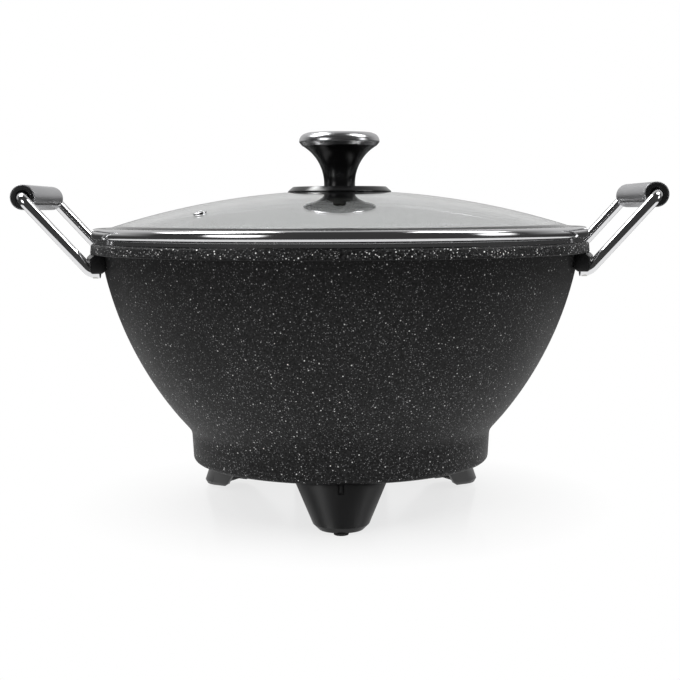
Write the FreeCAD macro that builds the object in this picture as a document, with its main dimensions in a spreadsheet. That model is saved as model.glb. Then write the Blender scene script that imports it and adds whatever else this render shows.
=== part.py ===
import FreeCAD, Part
import math
import os
import re

import Sketcher

# Electric wok: a die-cast bowl with its heating element, three moulded feet, a connector
# socket at the back, two rod handles and a loose glass lid.
# Millimetres, +Z up, origin on the table below the centre of the bowl, front towards -Y.

Vector = FreeCAD.Vector
Rotation = FreeCAD.Rotation
Placement = FreeCAD.Placement

doc = FreeCAD.newDocument("electric_wok")

# Driving sizes: name, value, what it is.
SIZES = [
    ("fit_gap", 0.05, "gap of a close fit"),
    ("seat_gap", 0.1, "gap where two parts rest on each other"),
    ("rim_radius", 160.9, "outside of the rim band"),
    ("rim_top", 170, "height of the rim"),
    ("rim_band", 6.4, "height of the rim band"),
    ("rim_overhang", 6.7, "how far the band stands out from the wall"),
    ("rim_draft", 0.6, "how much the band narrows upwards"),
    ("rim_round", 1.6, "rounding of the band's outer top edge"),
    ("rim_break", 0.8, "rounding of the band's other edges"),
    ("wall", 4.5, "thickness of the bowl's wall"),
    ("wall_curve", 223.2, "radius of the wall's outside curve"),
    ("base_radius", 96.9, "outside of the base at its foot"),
    ("base_bottom", 28.2, "height of the base's lower edge"),
    ("base_height", 20.2, "height of the base up to the wall"),
    ("base_draft", 1.1, "how much the base widens upwards"),
    ("base_wall", 4, "thickness of the base's wall"),
    ("base_round", 3.2, "rounding of the base's lower edge"),
    ("waist_blend", 9, "rounding between the wall and the base"),
    ("floor_rise", 17.8, "height of the cooking floor above the base's lower edge"),
    ("floor_thickness", 6, "thickness of the cooking floor"),
    ("floor_blend", 20, "rounding between the floor and the wall inside"),
    ("cover_ledge", 2.4, "width of the ledge that the bottom cover lies on"),
    ("cover_thickness", 1.2, "sheet of the bottom cover"),
    ("bead_middle", 35, "radius of the cover's stiffening bead"),
    ("bead_width", 10, "width of the bead"),
    ("bead_height", 1, "height of the bead"),
    ("bead_slope", 2, "width of the bead's sloping sides"),
    ("element_inset", 35.4, "distance of the heating element's ring from the base's outside"),
    ("element_tube", 3.75, "radius of the element's tube"),
    ("element_drop", 3.5, "depth of the element's centre line below the floor"),
    ("element_bend", 8, "bend of the element's cold ends"),
    ("rib_side", 3, "wall of the rib on each side of the element"),
    ("rib_depth", 5.5, "depth of the rib below the floor"),
    ("post_radius", 4, "cast screw posts"),
    ("post_middle", 6, "cast post in the middle"),
    ("post_bore_depth", 8.5, "depth of the tapped bores"),
    ("screw_radius", 1.95, "shank of the machine screws"),
    ("screw_hole", 2.3, "clearance hole for a screw"),
    ("screw_head", 3.4, "radius of a screw head"),
    ("screw_head_height", 2.4, "height of a screw head"),
    ("screw_grip", 7, "length of thread in a post"),
    ("foot_setback", 2.4, "how far a foot's top stands back from the base's outside"),
    ("foot_splay", 13.5, "how far a foot leans outwards"),
    ("foot_bottom", 1.5, "height of a foot's lower edge"),
    ("foot_wall", 2.5, "wall of a foot"),
    ("foot_round", 2.8, "height of the bevel around a foot's lower edge"),
    ("foot_bevel", 2.2, "width of that bevel"),
    ("foot_top_curve", 14.5, "depth of a foot's rounded outer face, top"),
    ("foot_top_depth", 35.5, "depth of a foot from its outer face to its wings' ends, top"),
    ("foot_top_half", 28.2, "half the width of a foot, top"),
    ("foot_curve", 15, "depth of a foot's rounded outer face, bottom"),
    ("foot_depth", 25.6, "depth of a foot from its outer face to its wings' ends, bottom"),
    ("foot_half", 15.6, "half the width of a foot, bottom"),
    ("foot_sole_depth", 17, "depth of a foot's bottom plate"),
    ("foot_screw_inset", 19.5, "distance of a foot's screws from its outer face, top"),
    ("foot_screw_side", 15, "distance of a foot's screws from its centre line"),
    ("notch_half", 1.9, "half the width of a foot's clip slot"),
    ("notch_depth", 5.4, "depth of the clip slot"),
    ("notch_cut", 1.6, "how far the clip slot is sunk into the foot's wall"),
    ("tongue_half", 0.9, "half the width of the clip tongue"),
    ("tongue_length", 4.2, "length of the clip tongue"),
    ("pad_inset", 5.7, "distance of a rubber pad from the foot's outer face"),
    ("pad_radius", 4.5, "rubber pad"),
    ("pad_edge", 0.4, "bevel of a pad's lower edge"),
    ("pad_stem", 2, "stem of a rubber pad"),
    ("housing_setback", 3.9, "how far the socket housing's back stands back from the base's outside"),
    ("housing_drop", 21.2, "depth of the housing below the base"),
    ("housing_curve", 7, "depth of the housing's rounded back"),
    ("housing_cheek", 10, "width of the housing beside the plug's cavity"),
    ("housing_front_wall", 2.5, "wall at the housing's inner end"),
    ("housing_roof", 3.3, "wall above the plug's cavity"),
    ("housing_floor", 3.5, "wall below the plug's cavity"),
    ("housing_round", 6, "rounding of the housing's inner corners"),
    ("housing_screw_beside", 5, "distance of the housing's screws from the cavity"),
    ("housing_screw_inset", 13, "distance of the housing's screws from its back"),
    ("housing_screw_flange", 3.6, "plastic below a housing screw's head"),
    ("housing_screw_well", 3.6, "radius of the wells for the screw heads"),
    ("cavity_half", 23, "half the width of the plug's cavity"),
    ("chamber_inner", 4.9, "room in front of the element's cold ends"),
    ("chamber_outer", 4.6, "room behind the element's cold ends"),
    ("terminal_wall", 3, "thickness of the terminal wall"),
    ("pin_inset", 7, "distance of a terminal pin from the side of the plug's cavity"),
    ("pin_radius", 3, "terminal pin, free end"),
    ("pin_tail", 2.4, "terminal pin, inner end"),
    ("pin_reach", 3.4, "length of a pin's tail beyond the cold end"),
    ("pin_length", 17, "free length of a terminal pin"),
    ("pin_bevel", 0.8, "bevel of a pin's tip"),
    ("insulator_radius", 5.2, "ceramic bush around a pin"),
    ("insulator_flange", 6.2, "flange of the ceramic bush"),
    ("insulator_flange_height", 1.4, "thickness of that flange"),
    ("sensor_half", 6.5, "half the width of the sensor block"),
    ("sensor_inner", 3.9, "length of the sensor block in front of the cold ends"),
    ("sensor_below", 5.6, "height of the sensor block below its bore"),
    ("sensor_nose", 4.9, "radius of the block's round nose"),
    ("sensor_nose_length", 2.5, "length of the nose beyond the terminal wall"),
    ("sensor_bore", 3.7, "bore for the temperature sensor"),
    ("sensor_bore_depth", 12.5, "depth of that bore"),
    ("earth_half", 4, "half the width of the earth spring"),
    ("earth_sheet", 0.6, "sheet of the earth spring"),
    ("earth_length", 18.4, "length of the earth spring"),
    ("earth_bump", 9.4, "place of the spring's bump along it"),
    ("earth_bump_depth", 1.8, "depth of the bump"),
    ("earth_bump_half", 4, "half the length of the bump"),
    ("grip_reach", 36.1, "distance of the grip from the rim, outwards"),
    ("grip_rise", 29.5, "height of the grip above the rim"),
    ("grip_half", 42, "half the length of the grip"),
    ("grip_radius", 7.9, "outside of the grip's steel sleeve"),
    ("grip_sheet", 0.7, "sheet of the sleeve"),
    ("grip_slit", 1.6, "width of the sleeve's seam"),
    ("grip_slit_angle", 31, "how far below level the seam faces"),
    ("grip_flare", 1, "flare of the core's mouth around the rod"),
    ("grip_mouth_depth", 1.5, "depth of the flared mouth"),
    ("rod_radius", 3.6, "handle rod"),
    ("rod_bend", 5.5, "bend between the rod's arm and the grip"),
    ("rod_tail_bend", 8, "bend between the rod's tail and its arm"),
    ("rod_tail_rise", 0.6, "height of the tail's middle above the lug's lower face"),
    ("rod_tail_out", 0.5, "how far the tail reaches beyond the rim"),
    ("rod_tail_in", 5.1, "how far the tail's end lies inside the rim"),
    ("lug_height", 11.3, "height of a handle lug"),
    ("lug_proud", 2, "how far a lug stands out from the rim band"),
    ("lug_inner_reach", 20.1, "width of a lug from the rod towards the handle's middle"),
    ("lug_outer_reach", 7, "width of a lug on the rod's other side"),
    ("lug_top_bevel", 1.9, "bevel of a lug's outer upper edge"),
    ("lug_bottom_bevel", 1.2, "bevel of a lug's outer lower edge"),
    ("lug_inner_bevel", 2.4, "bevel of a lug's inner lower edge"),
    ("clamp_in", 2.4, "how far a rod's screw lies inside the rim"),
    ("clamp_head", 2.5, "head of a rod's screw, sunk in the rod"),
    ("clamp_head_height", 1.9, "height of that head"),
    ("clamp_shank", 1.45, "shank of a rod's screw"),
    ("clamp_reach", 5.2, "length of a rod's screw in the lug"),
    ("bolt_beside", 13.2, "distance of a lug bolt from the rod"),
    ("bolt_below", 6.3, "depth of a lug bolt below the rim band"),
    ("bolt_shank", 2, "shank of a lug bolt"),
    ("bolt_reach", 6.5, "length of the bolt in the lug"),
    ("bolt_head", 4.2, "head of a lug bolt"),
    ("bolt_head_height", 1.8, "height of that head"),
    ("ring_setback", 0.9, "how far the lid's steel ring stands back from the rim"),
    ("ring_foot", 2.8, "height of the ring's bead above the rim"),
    ("ring_height", 6.9, "height of the bead"),
    ("ring_sheet", 0.7, "sheet of the ring"),
    ("ring_round", 3, "rounding of the bead's top"),
    ("ring_under_round", 2.6, "rounding of the bead's underside"),
    ("ring_flange", 9.2, "width of the ring's upper flange"),
    ("ring_hem", 2.2, "thickness of the folded hem below the glass"),
    ("ring_hem_width", 7, "width of that hem"),
    ("ring_skirt_inset", 3, "how far the skirt below the bead stands back"),
    ("lip_gap", 1.1, "how much smaller than the bowl's mouth the lip is"),
    ("lip_drop", 4.5, "how far the lip drops below the rim"),
    ("dome_rise", 23.7, "height of the glass dome above the ring"),
    ("dome_step", 0.35, "how far the dome ends below the ring's top"),
    ("glass", 4, "thickness of the glass"),
    ("glass_hole", 4.2, "hole in the middle of the glass"),
    ("glass_edge_bevel", 1.5, "bevel of the glass's edge"),
    ("glass_edge_gap", 0.9, "room between the glass's edge and the ring"),
    ("vent_side", -83, "place of the steam vent, sideways"),
    ("vent_front", -80, "place of the steam vent, front to back"),
    ("vent_bore", 1.6, "steam hole"),
    ("vent_tube", 3.2, "tube of the vent"),
    ("vent_flange", 4.3, "flange of the vent"),
    ("vent_sheet", 0.7, "thickness of that flange"),
    ("disc_radius", 33.6, "knob's base disc at the glass"),
    ("disc_height", 2.4, "height of the disc above the glass"),
    ("disc_bevel", 3.3, "width of the disc's sloping edge"),
    ("disc_edge", 0.7, "upright edge of the disc"),
    ("disc_bore", 3.2, "hole through the disc"),
    ("disc_socket", 0.8, "depth of the socket for the knob's foot"),
    ("neck_radius", 10.1, "knob's neck"),
    ("neck_height", 2.2, "height of the straight neck"),
    ("flare_curve", 28, "radius of the knob's flare"),
    ("flare_height", 23.5, "height of the flare"),
    ("cap_radius", 26.1, "widest part of the cap"),
    ("cap_height", 8.7, "height of the cap"),
    ("cap_gap", 0.5, "gap between the flare and the cap"),
    ("cap_under", 2.1, "how much narrower the cap's lower edge is"),
    ("cap_under_height", 2.5, "height of the cap's lower slope"),
    ("cap_band", 0.5, "height of the cap's upright edge"),
    ("cap_bevel", 3.2, "width of the cap's upper bevel"),
    ("cap_crown", 0.8, "height of the cap's crown above its bevel"),
    ("cap_wall", 0.75, "wall of the cap's skirt"),
    ("cap_overlap", 1.1, "how far the cap stands out from the flare"),
    ("spigot_height", 4.4, "height of the knob's spigot inside the cap"),
    ("insert_radius", 4, "brass insert"),
    ("insert_length", 13, "length of the insert"),
    ("knob_screw_radius", 2.5, "knob screw"),
    ("knob_screw_grip", 10, "length of the knob screw in the insert"),
    ("knob_screw_head", 4.4, "head of the knob screw"),
    ("knob_screw_head_height", 3, "height of that head"),
    ("washer_radius", 7.5, "steel washer"),
    ("washer_height", 1.1, "thickness of the washer"),
    ("gasket_radius", 8, "silicone gasket"),
    ("gasket_height", 1.2, "thickness of the gasket's flange"),
]

# Sizes that follow from the driving ones.
DERIVED = {
    "rim_underside": "rim_top - rim_band",
    "waist_radius": "base_radius + base_draft",
    "waist_height": "base_bottom + base_height",
    "base_inside": "base_radius - base_wall",
    "floor_top": "base_bottom + floor_rise",
    "underside": "floor_top - floor_thickness",
    "cover_top": "base_bottom + cover_thickness",
    "post_bottom": "cover_top + fit_gap",
    "bead_in": "bead_middle - bead_width/2",
    "bead_out": "bead_middle + bead_width/2",
    "element_ring": "base_radius - element_inset",
    "element_height": "underside - element_drop",
    "groove_radius": "element_tube + fit_gap",
    "rib_bottom": "underside - rib_depth",
    "cold_end_out": "sqrt(element_ring^2 + element_bend^2 - pin_side^2)",
    "foot_top": "base_bottom - seat_gap",
    "foot_top_reach": "base_radius - foot_setback",
    "foot_top_shoulder": "foot_top_reach - foot_top_curve",
    "foot_top_inner": "foot_top_reach - foot_top_depth",
    "foot_reach": "foot_top_reach + foot_splay",
    "foot_shoulder": "foot_reach - foot_curve",
    "foot_inner": "foot_reach - foot_depth",
    "foot_sole_inner": "foot_reach - foot_sole_depth",
    "foot_screw_out": "foot_top_reach - foot_screw_inset",
    "sole_top": "foot_bottom + foot_wall",
    "pad_out": "foot_reach - pad_inset",
    "housing_back": "base_radius - housing_setback",
    "housing_side": "housing_back - housing_curve",
    "housing_half": "cavity_half + housing_cheek",
    "housing_bottom": "base_bottom - housing_drop",
    "housing_screw_side": "cavity_half + housing_screw_beside",
    "housing_screw_out": "housing_back - housing_screw_inset",
    "housing_screw_seat": "foot_top - housing_screw_flange",
    "cavity_top": "foot_top - housing_roof",
    "cavity_bottom": "housing_bottom + housing_floor",
    "chamber_front": "cold_end_out - chamber_inner",
    "housing_front": "chamber_front - housing_front_wall",
    "terminal_wall_inner": "cold_end_out + chamber_outer",
    "terminal_face": "terminal_wall_inner + terminal_wall",
    "pin_side": "cavity_half - pin_inset",
    "pin_height": "(cavity_bottom + cavity_top)/2",
    "pin_inner": "cold_end_out - pin_reach",
    "bush_face": "terminal_face + fit_gap",
    "pin_shoulder": "bush_face + insulator_flange_height + fit_gap",
    "pin_tip": "pin_shoulder + pin_length",
    "sensor_start": "cold_end_out - sensor_inner",
    "sensor_bottom": "pin_height - sensor_below",
    "sensor_tip": "terminal_face + sensor_nose_length",
    "earth_top": "cavity_top - fit_gap",
    "earth_under": "earth_top - earth_sheet",
    "earth_start": "terminal_face + fit_gap",
    "earth_end": "earth_start + earth_length",
    "earth_bump_out": "earth_start + earth_bump",
    "rod_side": "grip_half + rod_bend",
    "rim_at_rod": "sqrt(rim_radius^2 - rod_side^2)",
    "lug_radius": "rim_radius + lug_proud",
    "lug_top": "rim_underside - seat_gap",
    "lug_bottom": "lug_top - lug_height",
    "lug_start": "asin((rod_side - lug_inner_reach)/rim_radius)",
    "lug_sweep": "asin((rod_side + lug_outer_reach)/rim_radius) - lug_start",
    "bolt_angle": "asin((rod_side - bolt_beside)/rim_radius)",
    "bolt_height": "rim_underside - bolt_below",
    "bolt_seat": "wall + seat_gap*1.5",
    "rod_tail_height": "lug_bottom + rod_tail_rise",
    "rod_end": "rim_at_rod - rod_tail_in",
    "rod_corner": "rim_at_rod + rod_tail_out",
    "clamp_out": "rim_at_rod - clamp_in",
    "clamp_length": "rod_radius*2 - clamp_head_height + clamp_reach",
    "grip_out": "rim_radius + grip_reach",
    "grip_height": "rim_top + grip_rise",
    "core_radius": "grip_radius - grip_sheet - fit_gap",
    "ring_radius": "rim_radius - ring_setback",
    "ring_seat": "rim_top + seat_gap",
    "ring_bottom": "rim_top + ring_foot",
    "ring_top": "ring_bottom + ring_height",
    "ring_inner": "ring_radius - ring_flange",
    "ring_hem_inner": "ring_radius - ring_hem_width",
    "ring_skirt": "ring_radius - ring_skirt_inset",
    "ring_inside": "ring_radius - ring_sheet - seat_gap*2",
    "hem_top": "ring_bottom + ring_hem",
    "lip_radius": "rim_radius - rim_overhang - wall - lip_gap",
    "lid_top": "ring_top + dome_rise",
    "dome_end": "ring_inner - 0.6",
    "dome_curve": "(dome_end^2 + (dome_rise + dome_step)^2)/(2*(dome_rise + dome_step))",
    "brim_top": "ring_top - ring_sheet - fit_gap",
    "brim_bottom": "hem_top + fit_gap",
    "brim_edge": "ring_radius - ring_sheet - glass_edge_gap",
    "disc_top": "lid_top + disc_height",
    "disc_top_radius": "disc_radius - disc_bevel",
    "socket_floor": "disc_top - disc_socket",
    "knob_foot": "socket_floor + fit_gap",
    "neck_top": "disc_top + neck_height",
    "flare_top": "neck_top + flare_height",
    "cap_bottom": "flare_top + cap_gap",
    "cap_top": "cap_bottom + cap_height",
    "cap_widest": "cap_bottom + cap_under_height",
    "cap_shoulder": "cap_top - cap_crown",
    "cap_edge_radius": "cap_radius - cap_under",
    "cap_top_radius": "cap_radius - cap_bevel",
    "cap_inside": "cap_bottom + spigot_height + fit_gap",
    "flare_radius": "cap_edge_radius - cap_overlap",
    "spigot_radius": "cap_edge_radius - cap_wall - fit_gap",
    "insert_end": "knob_foot + insert_length",
}
NAMES = {name for name, value, meaning in SIZES}

sheet = doc.addObject("Spreadsheet::Sheet", "Sizes")
for row, (name, value, meaning) in enumerate(SIZES, 1):
    sheet.set(f"A{row}", meaning)
    sheet.set(f"B{row}", str(value))
    sheet.setAlias(f"B{row}", name)
doc.recompute()


def link(text):
    """Write an expression of named sizes with the cells of the sheet."""
    def cell(word):
        if word.group() in DERIVED:
            return f"({link(DERIVED[word.group()])})"
        return "Sizes." * (word.group() in NAMES) + word.group()
    return re.sub(r"[a-z_]+", cell, text)


def size(text):
    """The number that an expression of named sizes gives."""
    value = sheet.evalExpression(link(text))
    return float(getattr(value, "Value", value))


def arc_centre(start, end, radius, side):
    """Centre of the arc from start to end that bulges to the left (side 1) or right (-1)."""
    chord = end - start
    rise = math.sqrt(max(radius ** 2 - chord.Length ** 2 / 4, 0))
    left = Vector(-chord.y, chord.x, 0).normalize()
    return (start + end) / 2 - left * rise * side


class Free(float):
    """A coordinate that the sketch's other constraints settle; its value is only a start."""


class Outline:
    """A sketch, drawn corner by corner. A corner's coordinates are expressions or numbers."""

    def __init__(self, body, name, plane="XZ_Plane", lift="0"):
        self.sketch = body.newObject("Sketcher::SketchObject", name)
        origin = next(part for part in body.Origin.OriginFeatures if part.Role == plane)
        self.sketch.AttachmentSupport = [(origin, "")]
        self.sketch.MapMode = "FlatFace"
        self.sketch.setExpression("AttachmentOffset.Base.z", link(lift))
        self.corners = []
        self.arcs = {}

    def corner(self, x, y):
        self.corners.append((x, y))
        return self

    def path(self, *corners):
        self.corners.extend(corners)
        return self

    def bow(self, radius, side, smooth=False, centre=None):
        """Make the edge after the last corner an arc: side is 1 where it bulges to the left."""
        self.arcs[len(self.corners) - 1] = (radius, side, smooth, centre)
        return self

    def _number(self, value):
        return size(value) if isinstance(value, str) else float(value)

    def _fix(self, kind, value, edge, end):
        if isinstance(value, Free):
            return
        if value == "0":
            axis = -2 if kind == "DistanceX" else -1
            self.sketch.addConstraint(Sketcher.Constraint("PointOnObject", edge, end, axis))
            return
        made = Sketcher.Constraint(kind, -1, 1, edge, end, self._number(value))
        index = self.sketch.addConstraint(made)
        if isinstance(value, str):
            self.sketch.setExpression(f"Constraints[{index}]", link(value))

    def close(self):
        points = [Vector(self._number(x), self._number(y), 0) for x, y in self.corners]
        count = len(points)
        ends = []
        for index, start in enumerate(points):
            end = points[(index + 1) % count]
            if index in self.arcs:
                radius, side = self._number(self.arcs[index][0]), self.arcs[index][1]
                centre = arc_centre(start, end, radius, side)
                spokes = [start - centre, end - centre][::-side]
                angles = [math.atan2(spoke.y, spoke.x) for spoke in spokes]
                circle = Part.Circle(centre, Vector(0, 0, 1), radius)
                self.sketch.addGeometry(Part.ArcOfCircle(circle, *angles), False)
                ends.append((1, 2)[::-side])
            else:
                self.sketch.addGeometry(Part.LineSegment(start, end), False)
                ends.append((1, 2))
        for index, (x, y) in enumerate(self.corners):
            before = (index - 1) % count
            smooth = index in self.arcs and self.arcs[index][2]
            kind = "Tangent" if smooth else "Coincident"
            pair = (before, ends[before][1], index, ends[index][0])
            self.sketch.addConstraint(Sketcher.Constraint(kind, *pair))
            self._fix("DistanceX", x, index, ends[index][0])
            self._fix("DistanceY", y, index, ends[index][0])
        for index, (radius, side, smooth, centre) in self.arcs.items():
            if smooth:
                continue
            made = Sketcher.Constraint("Radius", index, self._number(radius))
            self.sketch.setExpression(f"Constraints[{self.sketch.addConstraint(made)}]", link(radius))
            if centre is not None:
                self.sketch.addConstraint(Sketcher.Constraint("Coincident", index, 3, centre, 3))
        if self.sketch.solve() != 0:
            raise RuntimeError(f"the sketch {self.sketch.Label} has no solution")
        return self.sketch

    def circles(self, places):
        """Finish the sketch with whole circles instead: each a pair of coordinates and a radius."""
        for index, (x, y, radius) in enumerate(places):
            centre = Vector(self._number(x), self._number(y), 0)
            circle = Part.Circle(centre, Vector(0, 0, 1), self._number(radius))
            self.sketch.addGeometry(circle, False)
            self._fix("DistanceX", x, index, 3)
            self._fix("DistanceY", y, index, 3)
            made = Sketcher.Constraint("Radius", index, self._number(radius))
            self.sketch.setExpression(f"Constraints[{self.sketch.addConstraint(made)}]", link(radius))
        return self.sketch


def new_body(name, place=None):
    body = doc.addObject("PartDesign::Body", name)
    body.Label = name
    if place is not None:
        body.Placement = place
    return body


def feature(body, kind, name, sketch, **sizes):
    """A feature of a sketch; a text value binds that size to an expression."""
    made = body.newObject("PartDesign::" + kind, name)
    made.Profile = sketch
    for key, value in sizes.items():
        if isinstance(value, str) and key not in ("SideType", "Type"):
            made.setExpression(key, link(value))
        else:
            setattr(made, key, value)
    doc.recompute()
    return made


def revolve(body, sketch, angle="360", name="turned"):
    axis = (sketch, ["V_Axis"])
    return feature(body, "Revolution", name, sketch, ReferenceAxis=axis, Angle=angle)


def turned(name, corners, place=None):
    """A body of revolution about its own Z, from straight-sided corners (radius, height)."""
    body = new_body(name, place)
    revolve(body, Outline(body, name + "_profile").path(*corners).close())
    return body


def round_edges(body, name, radius, wanted):
    """Fillet the edges of the body's last feature for which wanted(edge) is true."""
    base = body.Tip
    names = [f"Edge{n}" for n, edge in enumerate(base.Shape.Edges, 1) if wanted(edge)]
    if not names:
        raise RuntimeError(f"no edge to round for {name}")
    made = body.newObject("PartDesign::Fillet", name)
    made.Base = (base, names)
    made.setExpression("Radius", link(radius))
    doc.recompute()
    return made


def circle_at(height, radius=None, inside=None):
    """A test for the round edges about Z at a height, of a radius or within one."""
    def wanted(edge):
        curve = edge.Curve
        if not isinstance(curve, Part.Circle) or abs(curve.Center.z - height) > 0.01:
            return False
        if abs(curve.Center.x) + abs(curve.Center.y) > 0.01:
            return False
        if radius is not None:
            return abs(curve.Radius - radius) < 0.01
        return curve.Radius < inside
    return wanted


def cylinder(name, radius, length, place):
    """A round cutter along its own Z."""
    made = doc.addObject("Part::Cylinder", name)
    made.setExpression("Radius", link(radius))
    made.setExpression("Height", link(length))
    made.Placement = place
    return made


def gather(name, parts):
    made = doc.addObject("Part::Compound", name)
    made.Label = name
    made.Links = parts
    return made


def cut(name, base, tools):
    made = doc.addObject("Part::Cut", name)
    made.Label = name
    made.Base = base
    made.Tool = gather(name + "_cutters", tools) if len(tools) > 1 else tools[0]
    doc.recompute()
    return made


def mirrored(name, source, normal):
    made = doc.addObject("Part::Mirroring", name)
    made.Label = name
    made.Source = source
    made.Normal = normal
    doc.recompute()
    return made


def shaped(name, shape):
    """A part whose bent path is no sketch: its shape is worked out here from the sheet."""
    made = doc.addObject("Part::Feature", name)
    made.Label = name
    made.Shape = shape
    return made


def polar(radius, angle, height=0):
    return Vector(radius * math.cos(angle), radius * math.sin(angle), height)


def turn_about_z(degrees, offset=Vector(0, 0, 0)):
    return Placement(offset, Rotation(Vector(0, 0, 1), degrees))


SIDEWAYS = Vector(1, 0, 0)
LENGTHWAYS = Vector(0, 1, 0)
FOOT_ANGLES = {"front": -90, "rear_right": 30, "rear_left": 150}

# Places of the screws that hold the feet and the socket housing.
foot_screws = [
    (f"foot_screw_out*cos({angle}) - {side}*foot_screw_side*sin({angle})",
     f"foot_screw_out*sin({angle}) + {side}*foot_screw_side*cos({angle})")
    for angle in FOOT_ANGLES.values() for side in (-1, 1)
]
housing_screws = [("housing_screw_side", "housing_screw_out"),
                  ("-housing_screw_side", "housing_screw_out")]

# Outside and inside curves of the wall share this centre, in (radius, height).
wall_foot = Vector(size("waist_radius"), size("waist_height"), 0)
wall_head = Vector(size("rim_radius - rim_overhang"), size("rim_underside"), 0)
wall_centre = arc_centre(wall_foot, wall_head, size("wall_curve"), -1)
inside_curve = size("wall_curve - wall")


def wall_radius(height, curve):
    """Radius of the bowl's wall at a height, for the outside or the inside curve."""
    return wall_centre.x + math.sqrt(curve ** 2 - (height - wall_centre.y) ** 2)


# The bowl: one aluminium casting with its rim band, base skirt, element rib and screw posts.
bowl = new_body("bowl_casting")
outline = Outline(bowl, "bowl_profile")
outline.path(
    ("0", "underside"),
    ("element_ring - groove_radius - rib_side", "underside"),
    ("element_ring - groove_radius - rib_side", "rib_bottom"),
    ("element_ring - groove_radius", "rib_bottom"),
    ("element_ring - groove_radius", "element_height"))
outline.bow("groove_radius", 1, smooth=True)
outline.path(
    ("element_ring + groove_radius", "element_height"),
    ("element_ring + groove_radius", "rib_bottom"),
    ("element_ring + groove_radius + rib_side", "rib_bottom"),
    ("element_ring + groove_radius + rib_side", "underside"),
    ("base_inside - cover_ledge", "underside"),
    ("base_inside - cover_ledge", "post_bottom"),
    ("base_inside", "post_bottom"),
    ("base_inside", "base_bottom"),
    ("base_radius", "base_bottom"),
    ("waist_radius", "waist_height"))
outline.bow("wall_curve", -1)
wall_edge = len(outline.corners) - 1
outline.path(
    ("rim_radius - rim_overhang", "rim_underside"),
    ("rim_radius", "rim_underside"),
    ("rim_radius - rim_draft", "rim_top"),
    (Free(wall_radius(size("rim_top"), inside_curve)), "rim_top"))
outline.bow("wall_curve - wall", 1, centre=wall_edge)
outline.path(
    (Free(wall_radius(size("floor_top"), inside_curve)), "floor_top"),
    ("0", "floor_top"))
revolve(bowl, outline.close())

waist = circle_at(size("waist_height"), size("waist_radius"))
round_edges(bowl, "waist_rounding", "waist_blend", waist)
base_edge = circle_at(size("base_bottom"), size("base_radius"))
round_edges(bowl, "base_rounding", "base_round", base_edge)
floor_edge = circle_at(size("floor_top"), inside=size("waist_radius"))
round_edges(bowl, "floor_rounding", "floor_blend", floor_edge)
rim_edge = circle_at(size("rim_top"), size("rim_radius - rim_draft"))
round_edges(bowl, "rim_rounding", "rim_round", rim_edge)
mouth_edge = circle_at(size("rim_top"), inside=size("rim_radius - wall"))
round_edges(bowl, "mouth_rounding", "rim_break", mouth_edge)
band_edge = circle_at(size("rim_underside"), size("rim_radius"))
round_edges(bowl, "band_rounding", "rim_break", band_edge)

post_places = [(x, y, "post_radius") for x, y in foot_screws + housing_screws]
posts = Outline(bowl, "post_outlines", "XY_Plane", "post_bottom")
posts.circles(post_places + [("0", "0", "post_middle")])
feature(bowl, "Pad", "posts", posts.sketch, Length="underside - post_bottom + fit_gap")
bores = Outline(bowl, "bore_outlines", "XY_Plane", "post_bottom")
bores.circles([(x, y, "screw_radius + fit_gap") for x, y in foot_screws + housing_screws]
              + [("0", "0", "screw_radius + fit_gap")])
feature(bowl, "Pocket", "tapped_bores", bores.sketch, Length="post_bore_depth", Reversed=True)

# The rib stops where the element's cold ends turn down, at this swing to each side of the back.
cold_end_swing = (
    math.asin(size("pin_side") / math.hypot(size("element_ring"), size("element_bend")))
    + math.atan2(size("element_bend"), size("element_ring")))
rib_gap = size("element_ring") * math.sin(cold_end_swing)
rib_inner = "element_ring - groove_radius - rib_side*5"
rib_outer = "element_ring + groove_radius + rib_side*1.2"
slot = Outline(bowl, "rib_gap_outline", "XY_Plane", "rib_bottom - fit_gap")
slot.path((-rib_gap, rib_inner), (rib_gap, rib_inner), (rib_gap, rib_outer), (-rib_gap, rib_outer))
feature(bowl, "Pocket", "rib_gap", slot.close(), Length="rib_depth + fit_gap", Reversed=True)

bolt_fall = math.asin((wall_centre.y - size("bolt_height")) / size("wall_curve"))
bolt_wall = wall_radius(size("bolt_height"), size("wall_curve"))


def bolt_place(angle, depth="0"):
    """On the wall's outside, or a depth further out, its Z square to the wall and into the bowl."""
    inward = Vector(-math.cos(bolt_fall), 0, math.sin(bolt_fall))
    turned_inward = Rotation(Vector(0, 0, 1), angle).multVec(inward)
    start = polar(bolt_wall, math.radians(angle), size("bolt_height"))
    return Placement(start - turned_inward * size(depth), Rotation(Vector(0, 0, 1), turned_inward))


bolt_angles = [side + turn * size("bolt_angle") for side in (0, 180) for turn in (-1, 1)]
drills = [cylinder(f"bolt_drill_{number}", "bolt_shank + seat_gap", "wall*3", bolt_place(angle, "wall"))
          for number, angle in enumerate(bolt_angles, 1)]
wok_bowl = cut("wok_bowl", bowl, drills)


# Heating element: a tube ring in the casting's groove, its cold ends bent down to the pins.
def cold_end(side):
    """Its upright run and its bend, from the pin up to the ring, for the right (1) or left (-1)."""
    ring_end = polar(size("element_ring"), math.pi / 2 - side * cold_end_swing, size("element_height"))
    heading = Vector(-side * math.cos(cold_end_swing), math.sin(cold_end_swing), 0)
    bend = size("element_bend")
    foot = ring_end + heading * bend - Vector(0, 0, bend)
    middle = foot + (Vector(0, 0, 1) - heading * math.tan(math.pi / 8)) * bend * math.sin(math.pi / 4)
    bottom = Vector(foot.x, foot.y, size("pin_height + pin_tail + fit_gap"))
    return Part.LineSegment(bottom, foot).toShape(), Part.Arc(foot, middle, ring_end).toShape(), ring_end


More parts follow.
